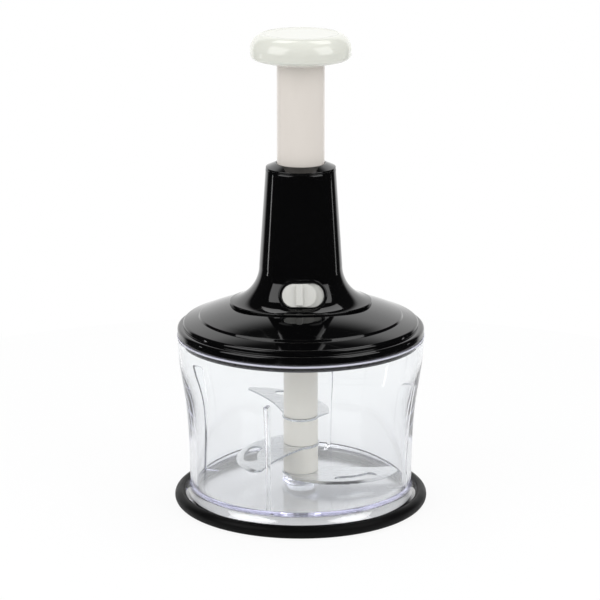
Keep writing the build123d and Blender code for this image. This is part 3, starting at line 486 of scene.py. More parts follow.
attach(base_ring, "bowl_body")

# --------------------------------------------------------------------------------------------------
# Bowl: injection-moulded clear plastic.  Flared foot, floor with a boss for the pin, a wall that is
# thick low down and thin at the mouth, and four vertical ribs inside that stop the food from turning.
# The lip of the mouth is a thin pale opaque bead, whose light bluish grey is a painted highlight along
# the rim.
# --------------------------------------------------------------------------------------------------
bowl_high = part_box("bowl")[1] * 1000
BOWL_TOP = bowl_high.z
LAND = BOWL_TOP - 4.0
FLOOR_TOP = 12.6
FLOOR_UNDER = FLOOR_TOP - 2.2
FLOOR_ROUND = 0.6
HEEL_OUTER = 65.9
HEEL_INNER = 62.1
HEEL_INNER_TOP = 16.6
RIM_OUTER = bowl_high.x
RIM_INNER = RIM_OUTER - 2.0
RIM_ROUND = 0.9
WALL_OUTSIDE = ((FLOOR_TOP, HEEL_OUTER), (42.0, 66.5), (63.0, 68.2), (84.0, 71.3), (LAND, RIM_OUTER))
WALL_INSIDE = ((HEEL_INNER_TOP, HEEL_INNER), (42.0, 62.7), (63.0, 65.2), (84.0, 69.3), (LAND, RIM_INNER))
FOOT_HEIGHT = 6.2
FOOT_CORNER = 64.0
FOOT_INNER_TOP = 5.25
FLARE_START = (FOOT_RADIUS - 0.3, 6.5)
FLARE_MIDDLE = (67.08, 8.89)
BOSS_RADIUS = 10.2
BOSS_TOP = FLOOR_TOP + 2.2
BOSS_UNDER_RADIUS = 8.3
BOSS_UNDER = FLOOR_UNDER - 4.4
RIB_ANGLES = np.radians(-109.5 + 90.0 * np.arange(4))
RIB_RADIUS = 60.9
RIB_TOP = 77.0
RIB_ROUND = 3.6
RIB_HALF = 1.2
LIP_INNER, LIP_OUTER = 71.9, 72.75
LIP_LOW, LIP_HIGH = BOWL_TOP - 1.0, BOWL_TOP - 0.05


def wall_radius(stations, height):
    """Cubic spline through (height, radius) stations, upright at both ends: the slopes at the
    stations are the solution of the usual three-term equations, and each span is a Hermite cubic."""
    z, r = np.array(stations).T
    step = np.diff(z)
    count = len(z)
    matrix, right = np.eye(count), np.zeros(count)
    inner = np.arange(1, count - 1)
    matrix[inner, inner - 1] = 1 / step[:-1]
    matrix[inner, inner] = 2 / step[:-1] + 2 / step[1:]
    matrix[inner, inner + 1] = 1 / step[1:]
    rise = np.diff(r) / step ** 2
    right[inner] = 3 * (rise[:-1] + rise[1:])
    slope = np.linalg.solve(matrix, right)
    span = np.clip(np.searchsorted(z, height) - 1, 0, count - 2)
    t = (height - z[span]) / step[span]
    return (
        (2 * t ** 3 - 3 * t ** 2 + 1) * r[span] + (t ** 3 - 2 * t ** 2 + t) * step[span] * slope[span]
        + (3 * t ** 2 - 2 * t ** 3) * r[span + 1] + (t ** 3 - t ** 2) * step[span] * slope[span + 1]
    )


def arc_through(start, middle, end, count):
    """Points of the circle through three points, evenly spaced in angle from first to last."""
    a, b, c = (np.array(point, float) for point in (start, middle, end))
    matrix = 2 * np.array([b - a, c - a])
    centre = np.linalg.solve(matrix, np.array([b @ b - a @ a, c @ c - a @ a]))
    first, mid, last = (math.atan2(*(point - centre)[::-1]) for point in (a, b, c))
    mid = first + (mid - first + math.pi) % (2 * math.pi) - math.pi
    last = mid + (last - mid + math.pi) % (2 * math.pi) - math.pi
    turns = np.linspace(first, last, count)
    return centre + np.linalg.norm(a - centre) * np.stack([np.cos(turns), np.sin(turns)], axis=-1)


def bowl_grid():
    """Grid of the bowl: one closed outline carried round the axis, whose inner wall is drawn in to
    the rib radius beside each rib.  Across a rib the share drawn in is the quarter power of one less
    the fourth power of the way out, which rounds its shoulders, and its half width ends in a half
    circle at the top."""
    quarter = math.pi / 2
    rise = np.linspace(FLOOR_TOP, LAND, 56)
    outside = np.stack([wall_radius(WALL_OUTSIDE, rise), rise], axis=-1)
    fall = np.concatenate([
        np.linspace(LAND, RIB_TOP + 0.3, 18), [RIB_TOP + 0.02],
        RIB_TOP - RIB_ROUND * (1 - np.cos(np.linspace(0.0, quarter, 16))),
        np.linspace(RIB_TOP - RIB_ROUND - 1.0, HEEL_INNER_TOP, 36),
    ])
    inside = np.stack([wall_radius(WALL_INSIDE, fall), fall], axis=-1)
    corner = np.linspace(0.0, quarter, 9)
    floor_corner = np.stack([
        HEEL_INNER - FLOOR_ROUND + FLOOR_ROUND * np.cos(corner),
        FLOOR_TOP + FLOOR_ROUND - FLOOR_ROUND * np.sin(corner),
    ], axis=-1)
    foot = rounded([
        (0.0, BOSS_UNDER, 0.0), (BOSS_UNDER_RADIUS, BOSS_UNDER, 0.6),
        (BOSS_UNDER_RADIUS, FLOOR_UNDER, 0.5), (FOOT_CORNER, FLOOR_UNDER, 0.8),
        (FOOT_INNER, FOOT_INNER_TOP, 0.8), (FOOT_INNER, SOLE, 0.3), (FOOT_RADIUS, SOLE, 0.3),
        (FOOT_RADIUS, FOOT_HEIGHT, 0.5), (FOOT_RADIUS - 1.0, FOOT_HEIGHT + 0.8, 0.0),
    ])[:-1]
    flare = arc_through(FLARE_START, FLARE_MIDDLE, (HEEL_OUTER, FLOOR_TOP), 12)[1:-1]
    rim = rounded([
        (RIM_OUTER, LAND, 0.0), (RIM_OUTER, BOWL_TOP, RIM_ROUND),
        (RIM_INNER, BOWL_TOP, RIM_ROUND), (RIM_INNER, LAND, 0.0),
    ])[1:-1]
    boss = rounded([
        (50.0, FLOOR_TOP, 0.0), (BOSS_RADIUS, FLOOR_TOP, 0.8), (BOSS_RADIUS, BOSS_TOP, 0.5),
        (0.0, BOSS_TOP, 0.0),
    ])
    outline = np.concatenate([foot, flare, outside, rim, inside, floor_corner, boss])
    near = RIB_HALF * np.sin(np.linspace(0.0, quarter, 15)) / RIB_RADIUS
    near = np.concatenate([near, near[-1] + np.array([0.02, 0.12, 0.5]) / RIB_RADIUS])
    turns = np.unique(np.round(np.concatenate([
        np.linspace(0.0, 2 * math.pi, 264, endpoint=False),
        (RIB_ANGLES[:, None] + np.concatenate([-near[1:], near])).ravel() % (2 * math.pi),
    ]), 6))
    off = np.abs((turns[:, None] - RIB_ANGLES + math.pi) % (2 * math.pi) - math.pi)
    off = off.min(axis=1) * RIB_RADIUS
    radius = outline[:, :1] + 0.0 * turns
    height = outline[:, 1:]
    arch = np.clip((height - (RIB_TOP - RIB_HALF)) / RIB_HALF, 0.0, 1.0)
    half = RIB_HALF * np.sqrt(1 - arch ** 2) + 1e-6
    share = (1 - np.clip(off / half, 0.0, 1.0) ** 4) ** 0.25
    bend = np.clip((height - (RIB_TOP - RIB_ROUND)) / RIB_ROUND, 0.0, 1.0)
    rib = RIB_RADIUS + RIB_ROUND * (1 - np.sqrt(1 - bend ** 2))
    first = len(foot) + len(flare) + len(outside) + len(rim)
    inner_rows = np.zeros(len(outline), bool)
    inner_rows[first:first + len(inside) + len(floor_corner)] = True
    ribbed = inner_rows[:, None] & (height <= RIB_TOP + 1e-6) & (radius > rib)
    radius = np.where(ribbed, radius + (rib - radius) * share, radius)
    grid = np.stack([radius * np.cos(turns), radius * np.sin(turns), height + 0.0 * turns], axis=-1)
    return grid / 1000.0


FOOT_POLISH = (0.0105, 0.0095)


def clear_material():
    """Clear styrene plastic: tinted very slightly blue in its thickness, faintly uneven, with a
    brighter polish on the foot, whose upper end is given in metres; light passes on."""
    material = bpy.data.materials.new("clear_plastic")
    tree = node_tree(material)
    skin = tree.nodes.new("ShaderNodeBsdfPrincipled")
    set_inputs(skin, {
        "Base Color": (0.978, 0.987, 0.987, 1.0), "Transmission Weight": 1.0, "IOR": 1.45,
        "Metallic": 0.0, "Coat Roughness": 0.02, "Coat IOR": 1.8,
    })
    where = tree.nodes.new("ShaderNodeTexCoord")
    split = tree.nodes.new("ShaderNodeSeparateXYZ")
    tree.links.new(where.outputs["Object"], split.inputs[0])
    low = spread(tree, split.outputs["Z"], FOOT_POLISH, (0.0, 1.0))
    tree.links.new(low, skin.inputs["Coat Weight"])
    mottle = placed(tree, MOTTLE, {"Cloud Scale": 25.0, "Grain Scale": 400.0})
    rough = spread(tree, mottle.outputs["Cloud"], (0.3, 0.7), (0.0, 0.03))
    tree.links.new(rough, skin.inputs["Roughness"])
    raised(tree, skin, mottle.outputs["Cloud"], 0.03, 0.0002)
    passing = tree.nodes.new("ShaderNodeBsdfTransparent")
    set_inputs(passing, {"Color": (0.98, 0.98, 0.98, 1.0)})
    path = tree.nodes.new("ShaderNodeLightPath")
    soft_light = larger(tree, path.outputs["Is Shadow Ray"], path.outputs["Is Diffuse Ray"])
    out = show(tree, mixed(tree, soft_light, skin, passing))
    depth = tree.nodes.new("ShaderNodeVolumeAbsorption")
    set_inputs(depth, {"Color": (0.80, 0.80, 0.98, 1.0), "Density": 12.0})
    tree.links.new(depth.outputs[0], out.inputs["Volume"])
    return material


bowl = put_surface("bowl_clear", bowl_grid(), clear_material())
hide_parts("bowl")
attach(bowl, "bowl_body")

# Pale bluish grey for the bead on the rim: a painted highlight standing in for the shine of the rim's
# top.
lip_highlight_paint = moulded(
    "lip_painted_highlight", paint(214, 214, 226), paint(198, 198, 212), (0.35, 0.5), bump=0.2, soft=0.1,
    grain_size=1500.0,
)
lip_outline = rounded([
    (LIP_INNER, LIP_LOW, 0.0), (LIP_OUTER, LIP_LOW, 0.3), (LIP_OUTER, LIP_HIGH, 0.3),
    (LIP_INNER, LIP_HIGH, 0.0),
])
lip = put_surface("bowl_lip_painted_highlight", turned(lip_outline, 320), lip_highlight_paint)
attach(lip, "bowl_body")

# --------------------------------------------------------------------------------------------------
# Pivot pin: a polished steel pin pressed into the floor boss, turned to a lead-in at its top, on
# which the blade column spins.
# --------------------------------------------------------------------------------------------------
pin_low, pin_high = (corner * 1000 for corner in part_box("pivot_pin"))
LEAD_IN = 1.0
pin_metal = moulded(
    "pin_steel", paint(188, 189, 190), paint(170, 171, 173), (0.14, 0.22), bump=0.1,
    grain_size=3000.0, metal=1.0,
)
pin_outline = rounded([
    (0.0, pin_low.z, 0.0), (pin_high.x, pin_low.z, 0.2), (pin_high.x, pin_high.z - LEAD_IN, 0.2),
    (pin_high.x - LEAD_IN, pin_high.z, 0.2), (0.0, pin_high.z, 0.0),
])
pin = put_surface("pivot_pin_turned", turned(pin_outline, 96), pin_metal)
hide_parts("pivot_pin")
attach(pin, "bowl_body")

# --------------------------------------------------------------------------------------------------
# Blade column: off-white moulded sleeves threaded on the square core of the tallest one, with a
# snap-on foot below.  Warm white, half-gloss, with a soft translucence.
# --------------------------------------------------------------------------------------------------
PIN_BORE = pin_high.x + 0.2
PIN_BORE_TOP = pin_high.z + 1.2
CORE_HALF = 5.0
CORE_BORE = 7.3
SOCKET_RADIUS = 6.2
upper_low, upper_high = (corner * 1000 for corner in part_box("column_upper"))
UPPER_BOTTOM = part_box("column_spacer_upper")[1].z * 1000 + 1.2
SOCKET_FLOOR = upper_high.z - 9.0
column_white = moulded(
    "column_plastic", paint(240, 238, 230), paint(234, 231, 222), (0.28, 0.40), bump=0.12,
    grain_size=1800.0, cloud_size=30.0, soft=0.10,
)


def sleeve(name, node, bore, body, material, edge=0.4):
    """Plain turned sleeve filling a node's height and radius, hollow to the bore, edges eased."""
    low, high = (corner * 1000 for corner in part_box(node))
    piece = put_surface(name, turned(rounded([
        (bore, low.z, 0.0), (high.x, low.z, edge), (high.x, high.z, edge), (bore, high.z, 0.0),
    ])), material)
    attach(piece, body)
    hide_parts(node)
    return piece


for part, bore in (
    ("column_spacer_upper", CORE_BORE), ("column_spacer_lower", CORE_BORE), ("column_foot", PIN_BORE),
):
    piece = sleeve(part + "_eased", part, bore, "blade_unit", column_white)

column_upper = put_surface("column_upper_eased", turned(rounded([
    (PIN_BORE, upper_low.z, 0.0), (CORE_HALF, upper_low.z, 0.2), (CORE_HALF, UPPER_BOTTOM, 0.0),
    (upper_high.x, UPPER_BOTTOM, 0.4), (upper_high.x, upper_high.z, 0.5),
    (SOCKET_RADIUS, upper_high.z, 0.4), (SOCKET_RADIUS, SOCKET_FLOOR, 0.3),
    (0.0, SOCKET_FLOOR, 0.0), (0.0, PIN_BORE_TOP, 0.0), (PIN_BORE, PIN_BORE_TOP, 0.2),
])), column_white)
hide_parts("column_upper")
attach(column_upper, "blade_unit")

# --------------------------------------------------------------------------------------------------
# Blades: three scimitar blades stamped from stainless sheet, ground along their outer edge.  The
# sheet is brushed along the arm, and its cut edges carry painted shade: every upright face is
# painted darker.
# --------------------------------------------------------------------------------------------------
# Tone of the upright cut edges: painted shade, darker than the sheet's face.
EDGE_SHADE_TONE = paint(190, 193, 197)
SHEET_FACE = paint(225, 226, 228)
EDGE_SHADE_RANGE = (0.15, 0.6)
BRUSHING = (60.0, 2600.0, 400.0)


def brushed_steel(name, turn):
    """Stainless sheet: long fine streaks along the arm, which lies at the given turn, as roughness
    and bump, and painted shade: a darker tone wherever the surface stands upright, as on the cut
    edges."""
    material = bpy.data.materials.new(name)
    tree = node_tree(material)
    skin = tree.nodes.new("ShaderNodeBsdfPrincipled")
    set_inputs(skin, {"Metallic": 1.0})
    facing = tree.nodes.new("ShaderNodeNewGeometry")
    upward = tree.nodes.new("ShaderNodeSeparateXYZ")
    tree.links.new(facing.outputs["Normal"], upward.inputs[0])
    # Painted shade: faces that stand upright get the darker tone.
    level = spread(tree, size_of(tree, upward.outputs["Z"]), EDGE_SHADE_RANGE, (0.0, 1.0))
    toned(tree, skin, level, EDGE_SHADE_TONE, SHEET_FACE)
    where = tree.nodes.new("ShaderNodeTexCoord")
    lay = tree.nodes.new("ShaderNodeMapping")
    set_inputs(lay, {"Rotation": (0.0, 0.0, -turn), "Scale": BRUSHING})
    tree.links.new(where.outputs["Object"], lay.inputs["Vector"])
    streak = tree.nodes.new("ShaderNodeTexNoise")
    set_inputs(streak, {"Scale": 1.0, "Detail": 3.0, "Roughness": 0.6})
    tree.links.new(lay.outputs[0], streak.inputs["Vector"])
    rough = spread(tree, streak.outputs["Fac"], (0.3, 0.7), (0.16, 0.34))
    tree.links.new(rough, skin.inputs["Roughness"])
    raised(tree, skin, streak.outputs["Fac"], 0.25, 0.00002)
    show(tree, skin)
    return material


def dress(node, material):
    """A better material in the slots of a node whose shape is right as it stands."""
    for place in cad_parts[node].material_slots:
        place.material = material


for blade, turn in (("blade_lower", -2.5), ("blade_middle", 237.5), ("blade_upper", 117.5)):
    dress(blade, brushed_steel(blade + "_steel", math.radians(turn)))

# --------------------------------------------------------------------------------------------------
# Lid underside: a flat black plate screwed into the lid from below, and a soft seal in its rebate
# that centres the lid in the bowl's mouth.
# --------------------------------------------------------------------------------------------------
plate_black = moulded(
    "inner_black", paint(44, 44, 48), paint(52, 52, 56), (0.35, 0.5), bump=0.2,
    grain_size=1600.0, marks=0.1,
)
screw_metal = moulded(
    "screw_steel", paint(176, 177, 178), paint(150, 151, 153), (0.25, 0.4), bump=0.1,
    grain_size=2500.0, metal=1.0,
)
dress("lid_plate", plate_black)
dress("lid_seal", rubber)
dress("lid_plate_screws", screw_metal)

# --------------------------------------------------------------------------------------------------
# Lid: glossy black moulding with a rounded rim, a bead, a sloping shoulder and a small step up to
# the dome on which the tower stands.  Polished, with faint handling marks.  A well in the middle
# holds the spring, and a boss below it the bush of the drive.
# --------------------------------------------------------------------------------------------------
lid_low, lid_high = (corner * 1000 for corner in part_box("lid_cover"))
LID_BOTTOM = BOWL_TOP + 0.3
LID_EDGE = lid_high.x
LID_RIM_TOP = LID_BOTTOM + 4.9
LID_RIM_ROUND = 3.0
BEAD_EDGE = LID_EDGE - 3.3
SHOULDER_EDGE = LID_EDGE - 12.5
DOME_EDGE = (LID_EDGE - 13.2, LID_BOTTOM + 11.6)
DOME_RISE = 11.5
DOME_CROWN = DOME_EDGE[1] + DOME_RISE
DOME_RADIUS = (DOME_EDGE[0] ** 2 + DOME_RISE ** 2) / (2 * DOME_RISE)
LID_WALL = 2.2
SKIRT_OUTER = RIM_INNER - 1.0
SKIRT_INNER = SKIRT_OUTER - 2.6
SKIRT_LOW = lid_low.z
WELL_MOUTH = 13.2
WELL_INNER, WELL_OUTER = 12.6, 14.8
WELL_FLOOR, WELL_UNDER = DOME_CROWN - 12.0, DOME_CROWN - 14.4
BUSH_BORE, BUSH_BOSS = 6.06, 9.06
BUSH_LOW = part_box("lid_plate")[1].z * 1000


def dome_height(radius, inset=0.0):
    """Height of the lid's dome over a radius: a sphere through the crown and the step, inset for a
    shell."""
    return DOME_CROWN - DOME_RADIUS + np.sqrt((DOME_RADIUS - inset) ** 2 - np.square(radius))


def lid_outline():
    """Closed outline of the lid: up its rim and over the dome, down the well and its boss, and back
    under the dome to the skirt."""
    over = np.linspace(DOME_EDGE[0] - 0.5, 14.0, 40)
    under = np.linspace(15.4, DOME_EDGE[0] - LID_WALL, 30)
    near_edge = DOME_EDGE[0] - 3.0
    return np.concatenate([
        rounded([
            (SKIRT_OUTER, SKIRT_LOW, 0.0), (SKIRT_OUTER, LID_BOTTOM, 0.3),
            (LID_EDGE, LID_BOTTOM, 0.5), (LID_EDGE, LID_RIM_TOP, LID_RIM_ROUND),
            (BEAD_EDGE, LID_BOTTOM + 5.15, 0.3), (BEAD_EDGE - 0.1, LID_BOTTOM + 7.6, 1.8),
            (SHOULDER_EDGE, LID_BOTTOM + 10.3, 0.35), (*DOME_EDGE, 0.45),
            (near_edge, float(dome_height(near_edge)), 0.0),
        ])[:-1],
        np.stack([over, dome_height(over)], axis=-1)[3:],
        rounded([
            (WELL_MOUTH, float(dome_height(WELL_MOUTH)), 0.0), (WELL_INNER, DOME_CROWN - 0.6, 0.3),
            (WELL_INNER, WELL_FLOOR, 0.4), (BUSH_BORE, WELL_FLOOR, 0.0), (BUSH_BORE, BUSH_LOW, 0.0),
            (BUSH_BOSS, BUSH_LOW, 0.3), (BUSH_BOSS, WELL_UNDER, 0.0), (WELL_OUTER, WELL_UNDER, 0.0),
        ]),
        np.stack([under, dome_height(under, LID_WALL)], axis=-1),
        rounded([(58.9, 111.0, 0.0), (SKIRT_INNER, 107.6, 0.0), (SKIRT_INNER, SKIRT_LOW, 0.0)]),
    ])


black_gloss = moulded(
    "black_gloss", (0.0012, 0.0012, 0.0014, 1.0), (0.0022, 0.0022, 0.0024, 1.0), (0.04, 0.08),
    bump=0.02, grain_size=900.0, cloud_size=22.0, marks=0.12, grain_height=0.00001,
)
lid = put_surface("lid_polished", turned(lid_outline(), 320), black_gloss)
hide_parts("lid_cover")
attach(lid, "head")

# --------------------------------------------------------------------------------------------------
# Tower: glossy black moulding, a slim cone that runs out in a bell to an oval foot on the dome.  A
# raised stadium frame at its front holds the white lock slide.
# --------------------------------------------------------------------------------------------------
TOWER_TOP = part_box("tower_housing")[1].z * 1000
TOP_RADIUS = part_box("tower_collar")[1].x * 1000
TOP_ROUND = 0.25
TOP_LAND = 2.2
TOWER_WALL = 2.4
NECK = DOME_CROWN + 18.0
NECK_RADIUS = 24.3
BELL_HEIGHT = 21.7
BELL_SIDE = 21.7
BELL_FRONT = 14.1
BELL_TURN = 77.5
FOOT_ROUND = 0.45
FOOT_SEAT = 0.15
LOCK_TILT = math.radians(17.0)
LOCK_CENTRE = np.array([0.0, -27.6, DOME_CROWN + 5.6 + 0.8])
LOCK_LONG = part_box("lock_bezel")[1].x * 2000
LOCK_TALL = 13.7
RECESS_DEPTH = 3.8
FRAME_INNER, FRAME_OUTER = 0.15, 2.0


def tower_grid():
    """Grid of the tower: rows of ellipses.  Up the cone they are circles; down the bell both half
    axes grow with one less the cosine of the turn while the height falls with its sine; the foot
    follows the dome.  Behind the lock's frame the skin is drawn in to the back of the recess."""
    turns = np.linspace(0.0, 2 * math.pi, 640, endpoint=False)
    edge_top = TOWER_TOP - TOP_ROUND
    t = np.linspace(0.0, math.pi / 2, 6)
    brow = TOP_RADIUS - TOP_ROUND + TOP_ROUND * np.sin(t)
    cap = np.stack([brow, brow, edge_top + TOP_ROUND * np.cos(t)], axis=-1)
    s = np.linspace(0.0, 1.0, 50)[:-1]
    taper = TOP_RADIUS + (NECK_RADIUS - TOP_RADIUS) * s
    cone = np.stack([taper, taper, edge_top + (NECK - edge_top) * s], axis=-1)
    t = np.radians(np.linspace(0.0, BELL_TURN, 48))
    bell = np.stack([
        NECK_RADIUS + BELL_SIDE * (1 - np.cos(t)), NECK_RADIUS + BELL_FRONT * (1 - np.cos(t)),
        NECK - BELL_HEIGHT * np.sin(t),
    ], axis=-1)
    t = np.linspace(math.radians(12.0), math.pi / 2, 7)
    edge = np.stack([
        bell[-1, 0] + FOOT_ROUND * np.sin(t), bell[-1, 1] + FOOT_ROUND * np.sin(t),
        bell[-1, 2] - FOOT_ROUND * (1 - np.cos(t)) - 0.02,
    ], axis=-1)
    top_inner = np.array([[TOP_RADIUS - TOP_LAND, TOP_RADIUS - TOP_LAND, TOWER_TOP]])
    rows = np.concatenate([top_inner, cap, cone, bell, edge])
    a, b, z = (rows[:, k:k + 1] for k in range(3))
    grid = np.stack([a * np.cos(turns), b * np.sin(turns), z + 0.0 * turns], axis=-1)
    foot = grid[-1:].copy()
    foot[..., 2] = dome_height(np.hypot(foot[..., 0], foot[..., 1])) + FOOT_SEAT
    inner = foot.copy()
    inner[..., :2] *= 0.93
    inner[..., 2] = dome_height(np.hypot(inner[..., 0], inner[..., 1])) + FOOT_SEAT
    shell = grid[::-1][len(edge):-len(cap) - 1:3].copy()
    shell[..., :2] *= 1 - TOWER_WALL / np.hypot(shell[..., 0], shell[..., 1])[..., None]
    grid = np.concatenate([grid, foot, inner, shell])
    local = grid - LOCK_CENTRE
    across = np.maximum(np.abs(local[..., 0]) - (LOCK_LONG - LOCK_TALL) / 2, 0.0)
    upward = local[..., 2] / math.cos(LOCK_TILT)
    inside = (np.hypot(across, upward) < LOCK_TALL / 2 + 1.0) & (grid[..., 1] < -5.0)
    back = LOCK_CENTRE[1] + RECESS_DEPTH + np.tan(LOCK_TILT) * local[..., 2]
    grid[..., 1] = np.where(inside, np.maximum(grid[..., 1], back), grid[..., 1])
    return grid / 1000.0


tower = put_surface("tower_polished", tower_grid(), black_gloss)
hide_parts("tower_housing")
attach(tower, "head")


def stadium_grid(outline, long, tall, columns=160):
    """Ring swept round a stadium on the lock's plane: each outline point (outward, forward) is
    carried along the stadium at that distance outside it, and placed along the plane's normal by its
    second value."""
    turns = np.linspace(0.0, 2 * math.pi, columns, endpoint=False)
    side = np.where(np.cos(turns) >= 0, 1.0, -1.0) * (long - tall) / 2
    reach = tall / 2 + outline[:, :1]
    x = side + reach * np.cos(turns)
    y = reach * np.sin(turns)
    forward = outline[:, 1:] + 0.0 * turns
    sideways = np.array([1.0, 0.0, 0.0])
    upright = np.array([0.0, math.sin(LOCK_TILT), math.cos(LOCK_TILT)])
    normal = np.array([0.0, -math.cos(LOCK_TILT), math.sin(LOCK_TILT)])
    return (
        LOCK_CENTRE + x[..., None] * sideways + y[..., None] * upright + forward[..., None] * normal
    ) / 1000.0


frame_outline = rounded([
    (FRAME_INNER, -3.4, 0.0), (FRAME_INNER, -0.3, 0.5), (FRAME_OUTER, -0.3, 0.9),
    (FRAME_OUTER, -6.0, 0.0),
])
lock_frame = put_surface(
    "lock_frame_polished", stadium_grid(frame_outline, LOCK_LONG, LOCK_TALL), black_gloss)
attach(lock_frame, "head")

# --------------------------------------------------------------------------------------------------
# Tower collar: the black ring pressed into the top of the tower, coned up to the plunger tube that
# it guides.
# --------------------------------------------------------------------------------------------------
collar_low, collar_high = (corner * 1000 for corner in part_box("tower_collar"))
COLLAR_BORE = 14.1
COLLAR_PLUG = 17.9
collar_outline = rounded([
    (COLLAR_BORE, collar_low.z, 0.0), (COLLAR_PLUG, collar_low.z, 0.2), (COLLAR_PLUG, TOWER_TOP, 0.0),
    (TOP_RADIUS, TOWER_TOP + 0.02, 0.15), (TOP_RADIUS - 0.1, TOWER_TOP + 0.9, 0.4),
    (COLLAR_BORE + 0.8, collar_high.z, 0.3), (COLLAR_BORE, collar_high.z, 0.2),
])
collar = put_surface("tower_collar_polished", turned(collar_outline), black_gloss)
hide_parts("tower_collar")
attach(collar, "head")

# --------------------------------------------------------------------------------------------------
# Works inside the head: steel screws, spring washer and twisted bar, acetal bush, nut, disc and lock
# plate, and the black sleeve and carrier.  They show when the head is lifted off or seen from below.
# --------------------------------------------------------------------------------------------------
acetal = moulded(
    "acetal", paint(226, 225, 218), paint(216, 214, 206), (0.35, 0.5), bump=0.1,
    grain_size=1800.0, soft=0.1,
)
spring_steel = moulded(
    "spring_steel", paint(160, 162, 165), paint(135, 137, 141), (0.22, 0.34), bump=0.1,
    grain_size=2600.0, metal=1.0,
)
for node in ("bearing_bush", "drive_nut", "guide_disc", "lock_plate"):
    dress(node, acetal)
for node in ("tower_screws", "knob_screw", "coupling_screw", "spring_seat"):
    dress(node, screw_metal)
for node in ("guide_sleeve", "lock_carrier"):
    dress(node, plate_black)
dress("drive_bar", spring_steel)
dress("drive_coupling", column_white)

# --------------------------------------------------------------------------------------------------
# Return spring: eight coils of round steel wire between the washer in the well and the nose of the
# tube.  It is wound cold, and closes up as the plunger goes down.  Its sizes are in metres.
# --------------------------------------------------------------------------------------------------
spring_low, spring_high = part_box("return_spring")
COILS = 8
POINTS_PER_COIL = 48
WIRE_HALF = 0.00065


def coil_grid(radius, low, high):
    """Grid of a wire wound on a helix: the centre turns evenly while it rises, and a circle is laid
    round it in the plane of the outward direction and of the direction across the wire.  Both ends
    shrink to a point."""
    share = np.linspace(0.0, 1.0, COILS * POINTS_PER_COIL + 1)[:, None]
    turn = share * COILS * 2 * math.pi
    rise = high - low
    pitch = math.atan2(rise, COILS * 2 * math.pi * radius)
    around = np.linspace(0.0, 2 * math.pi, 12, endpoint=False)
    size = np.full(len(share), WIRE_HALF)
    size[[0, -1]] = 0.0
    outward, across = size[:, None] * np.cos(around), size[:, None] * np.sin(around)
    x = (radius + outward) * np.cos(turn) + across * math.sin(pitch) * np.sin(turn)
    y = (radius + outward) * np.sin(turn) - across * math.sin(pitch) * np.cos(turn)
    return np.stack([x, y, low + share * rise + across * math.cos(pitch)], axis=-1)


spring = put_surface("return_spring_wound", coil_grid(
    spring_high.x - WIRE_HALF, spring_low.z + WIRE_HALF, spring_high.z - WIRE_HALF,
), spring_steel, wrap_rows=False)
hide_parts("return_spring")
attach(spring, "head")
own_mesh(spring)

# --------------------------------------------------------------------------------------------------
# Lock slide: a white stadium plate in the frame, and on it the thumb slide with its upright ridge.
# --------------------------------------------------------------------------------------------------
lock_white = moulded(
    "lock_plastic", paint(215, 215, 211), paint(210, 210, 205), (0.22, 0.28), bump=0.06,
    grain_size=2000.0, soft=0.06,
)
dress("lock_bezel", lock_white)
dress("lock_button", lock_white)

# --------------------------------------------------------------------------------------------------
# Plunger tube: warm white moulded tube, satin, with the lock groove and the stop flange on its nose
# and a plug at its top.
# --------------------------------------------------------------------------------------------------
tube_low, tube_high = (corner * 1000 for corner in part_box("plunger_tube"))
NOSE, TUBE_TOP = tube_low.z, tube_high.z
TUBE_RADIUS = 13.8
TUBE_BORE = 11.2
PLUG_LOW = TUBE_TOP - 5.5
GROOVE_RADIUS = 12.7
GROOVE_LOW, GROOVE_HIGH = NOSE + 2.7, NOSE + 5.3
STOP_RADIUS = 16.4
STOP_LOW, STOP_HIGH = NOSE + 6.6, NOSE + 8.6
tube_white = moulded(
    "plunger_plastic", paint(222, 216, 210), paint(218, 211, 203), (0.28, 0.28), bump=0.05,
    grain_size=1500.0, cloud_size=16.0,
)
tube_outline = rounded([
    (TUBE_BORE, NOSE, 0.2), (TUBE_RADIUS, NOSE, 0.4), (TUBE_RADIUS, GROOVE_LOW, 0.2),
    (GROOVE_RADIUS, GROOVE_LOW, 0.2), (GROOVE_RADIUS, GROOVE_HIGH, 0.2),
    (TUBE_RADIUS, GROOVE_HIGH, 0.2), (TUBE_RADIUS, STOP_LOW, 0.2), (STOP_RADIUS, STOP_LOW, 0.3),
    (STOP_RADIUS, STOP_HIGH, 0.3), (TUBE_RADIUS, STOP_HIGH, 0.3), (TUBE_RADIUS, TUBE_TOP, 0.3),
    (0.0, TUBE_TOP, 0.0), (0.0, PLUG_LOW, 0.0), (TUBE_BORE, PLUG_LOW, 0.3),
])
tube = put_surface("plunger_tube_smooth", turned(tube_outline), tube_white)
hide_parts("plunger_tube")
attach(tube, "plunger")

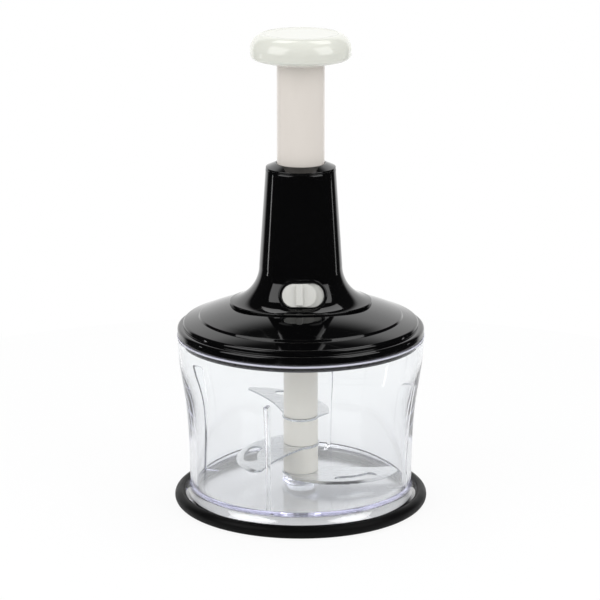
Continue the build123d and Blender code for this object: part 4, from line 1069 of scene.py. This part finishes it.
# --------------------------------------------------------------------------------------------------
# Knob: off-white glossy palm knob, coned underneath, with a soft shoulder and a slightly dished cap
# pressed into its top.
# --------------------------------------------------------------------------------------------------
knob_low, knob_high = (corner * 1000 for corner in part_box("knob"))
KNOB_LOW, KNOB_TOP = knob_low.z, knob_high.z
KNOB_RADIUS = knob_high.x
KNOB_BORE = 13.9
SKIRT_RADIUS = 18.1
CONE_EDGE = (26.4, KNOB_LOW + 2.3)
CONE_ROUND = (KNOB_RADIUS - 0.7, KNOB_LOW + 3.55)
SIDE_LOW = (KNOB_RADIUS, KNOB_LOW + 4.8)
SIDE_MIDDLE = (KNOB_RADIUS, KNOB_LOW + 6.2)
SIDE_HIGH = (KNOB_RADIUS, KNOB_LOW + 7.5)
SHOULDER = (KNOB_RADIUS - 1.87, KNOB_LOW + 7.5 + 0.64 * 9.7)
SOCKET_TOP = KNOB_LOW + 3.4
KNOB_FLOOR = KNOB_LOW + 6.4
CAP_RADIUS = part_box("knob_cap")[1].x * 1000
CAP_SEAT = CAP_RADIUS - 1.6
CAP_HOLE = CAP_RADIUS + 0.1
CAP_UNDER = KNOB_TOP - 2.4
CAP_DISH = KNOB_TOP - 0.5
knob_white = moulded(
    "knob_plastic", paint(221, 222, 214), paint(218, 219, 210), (0.08, 0.11), bump=0.03,
    grain_size=1500.0, cloud_size=20.0, soft=0.08, shine=0.8, grain_height=0.00001,
)
knob_outline = np.concatenate([
    rounded([(KNOB_BORE, KNOB_LOW, 0.3), (SKIRT_RADIUS, KNOB_LOW, 1.2), (*CONE_EDGE, 0.0)])[:-1],
    arc_through(CONE_EDGE, CONE_ROUND, SIDE_LOW, 12),
    np.array([SIDE_MIDDLE]),
    arc_through(SIDE_HIGH, SHOULDER, (CAP_HOLE, KNOB_TOP), 26),
    rounded([
        (CAP_HOLE, KNOB_TOP, 0.0), (CAP_HOLE, CAP_UNDER, 0.0), (CAP_SEAT, CAP_UNDER, 0.0),
        (CAP_SEAT, KNOB_FLOOR, 0.4), (0.0, KNOB_FLOOR, 0.0), (0.0, SOCKET_TOP, 0.0),
        (KNOB_BORE, SOCKET_TOP, 0.2),
    ])[1:],
])
knob = put_surface("knob_smooth", turned(knob_outline, 288), knob_white)
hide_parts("knob")
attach(knob, "plunger")

knob_cap = put_surface("knob_cap_smooth", turned(rounded([
    (0.0, CAP_UNDER, 0.0), (CAP_RADIUS, CAP_UNDER, 0.1), (CAP_RADIUS, KNOB_TOP, 0.35),
    (CAP_RADIUS - 3.2, CAP_DISH, 2.5), (0.0, CAP_DISH, 0.0),
])), knob_white)
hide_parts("knob_cap")
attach(knob_cap, "plunger")
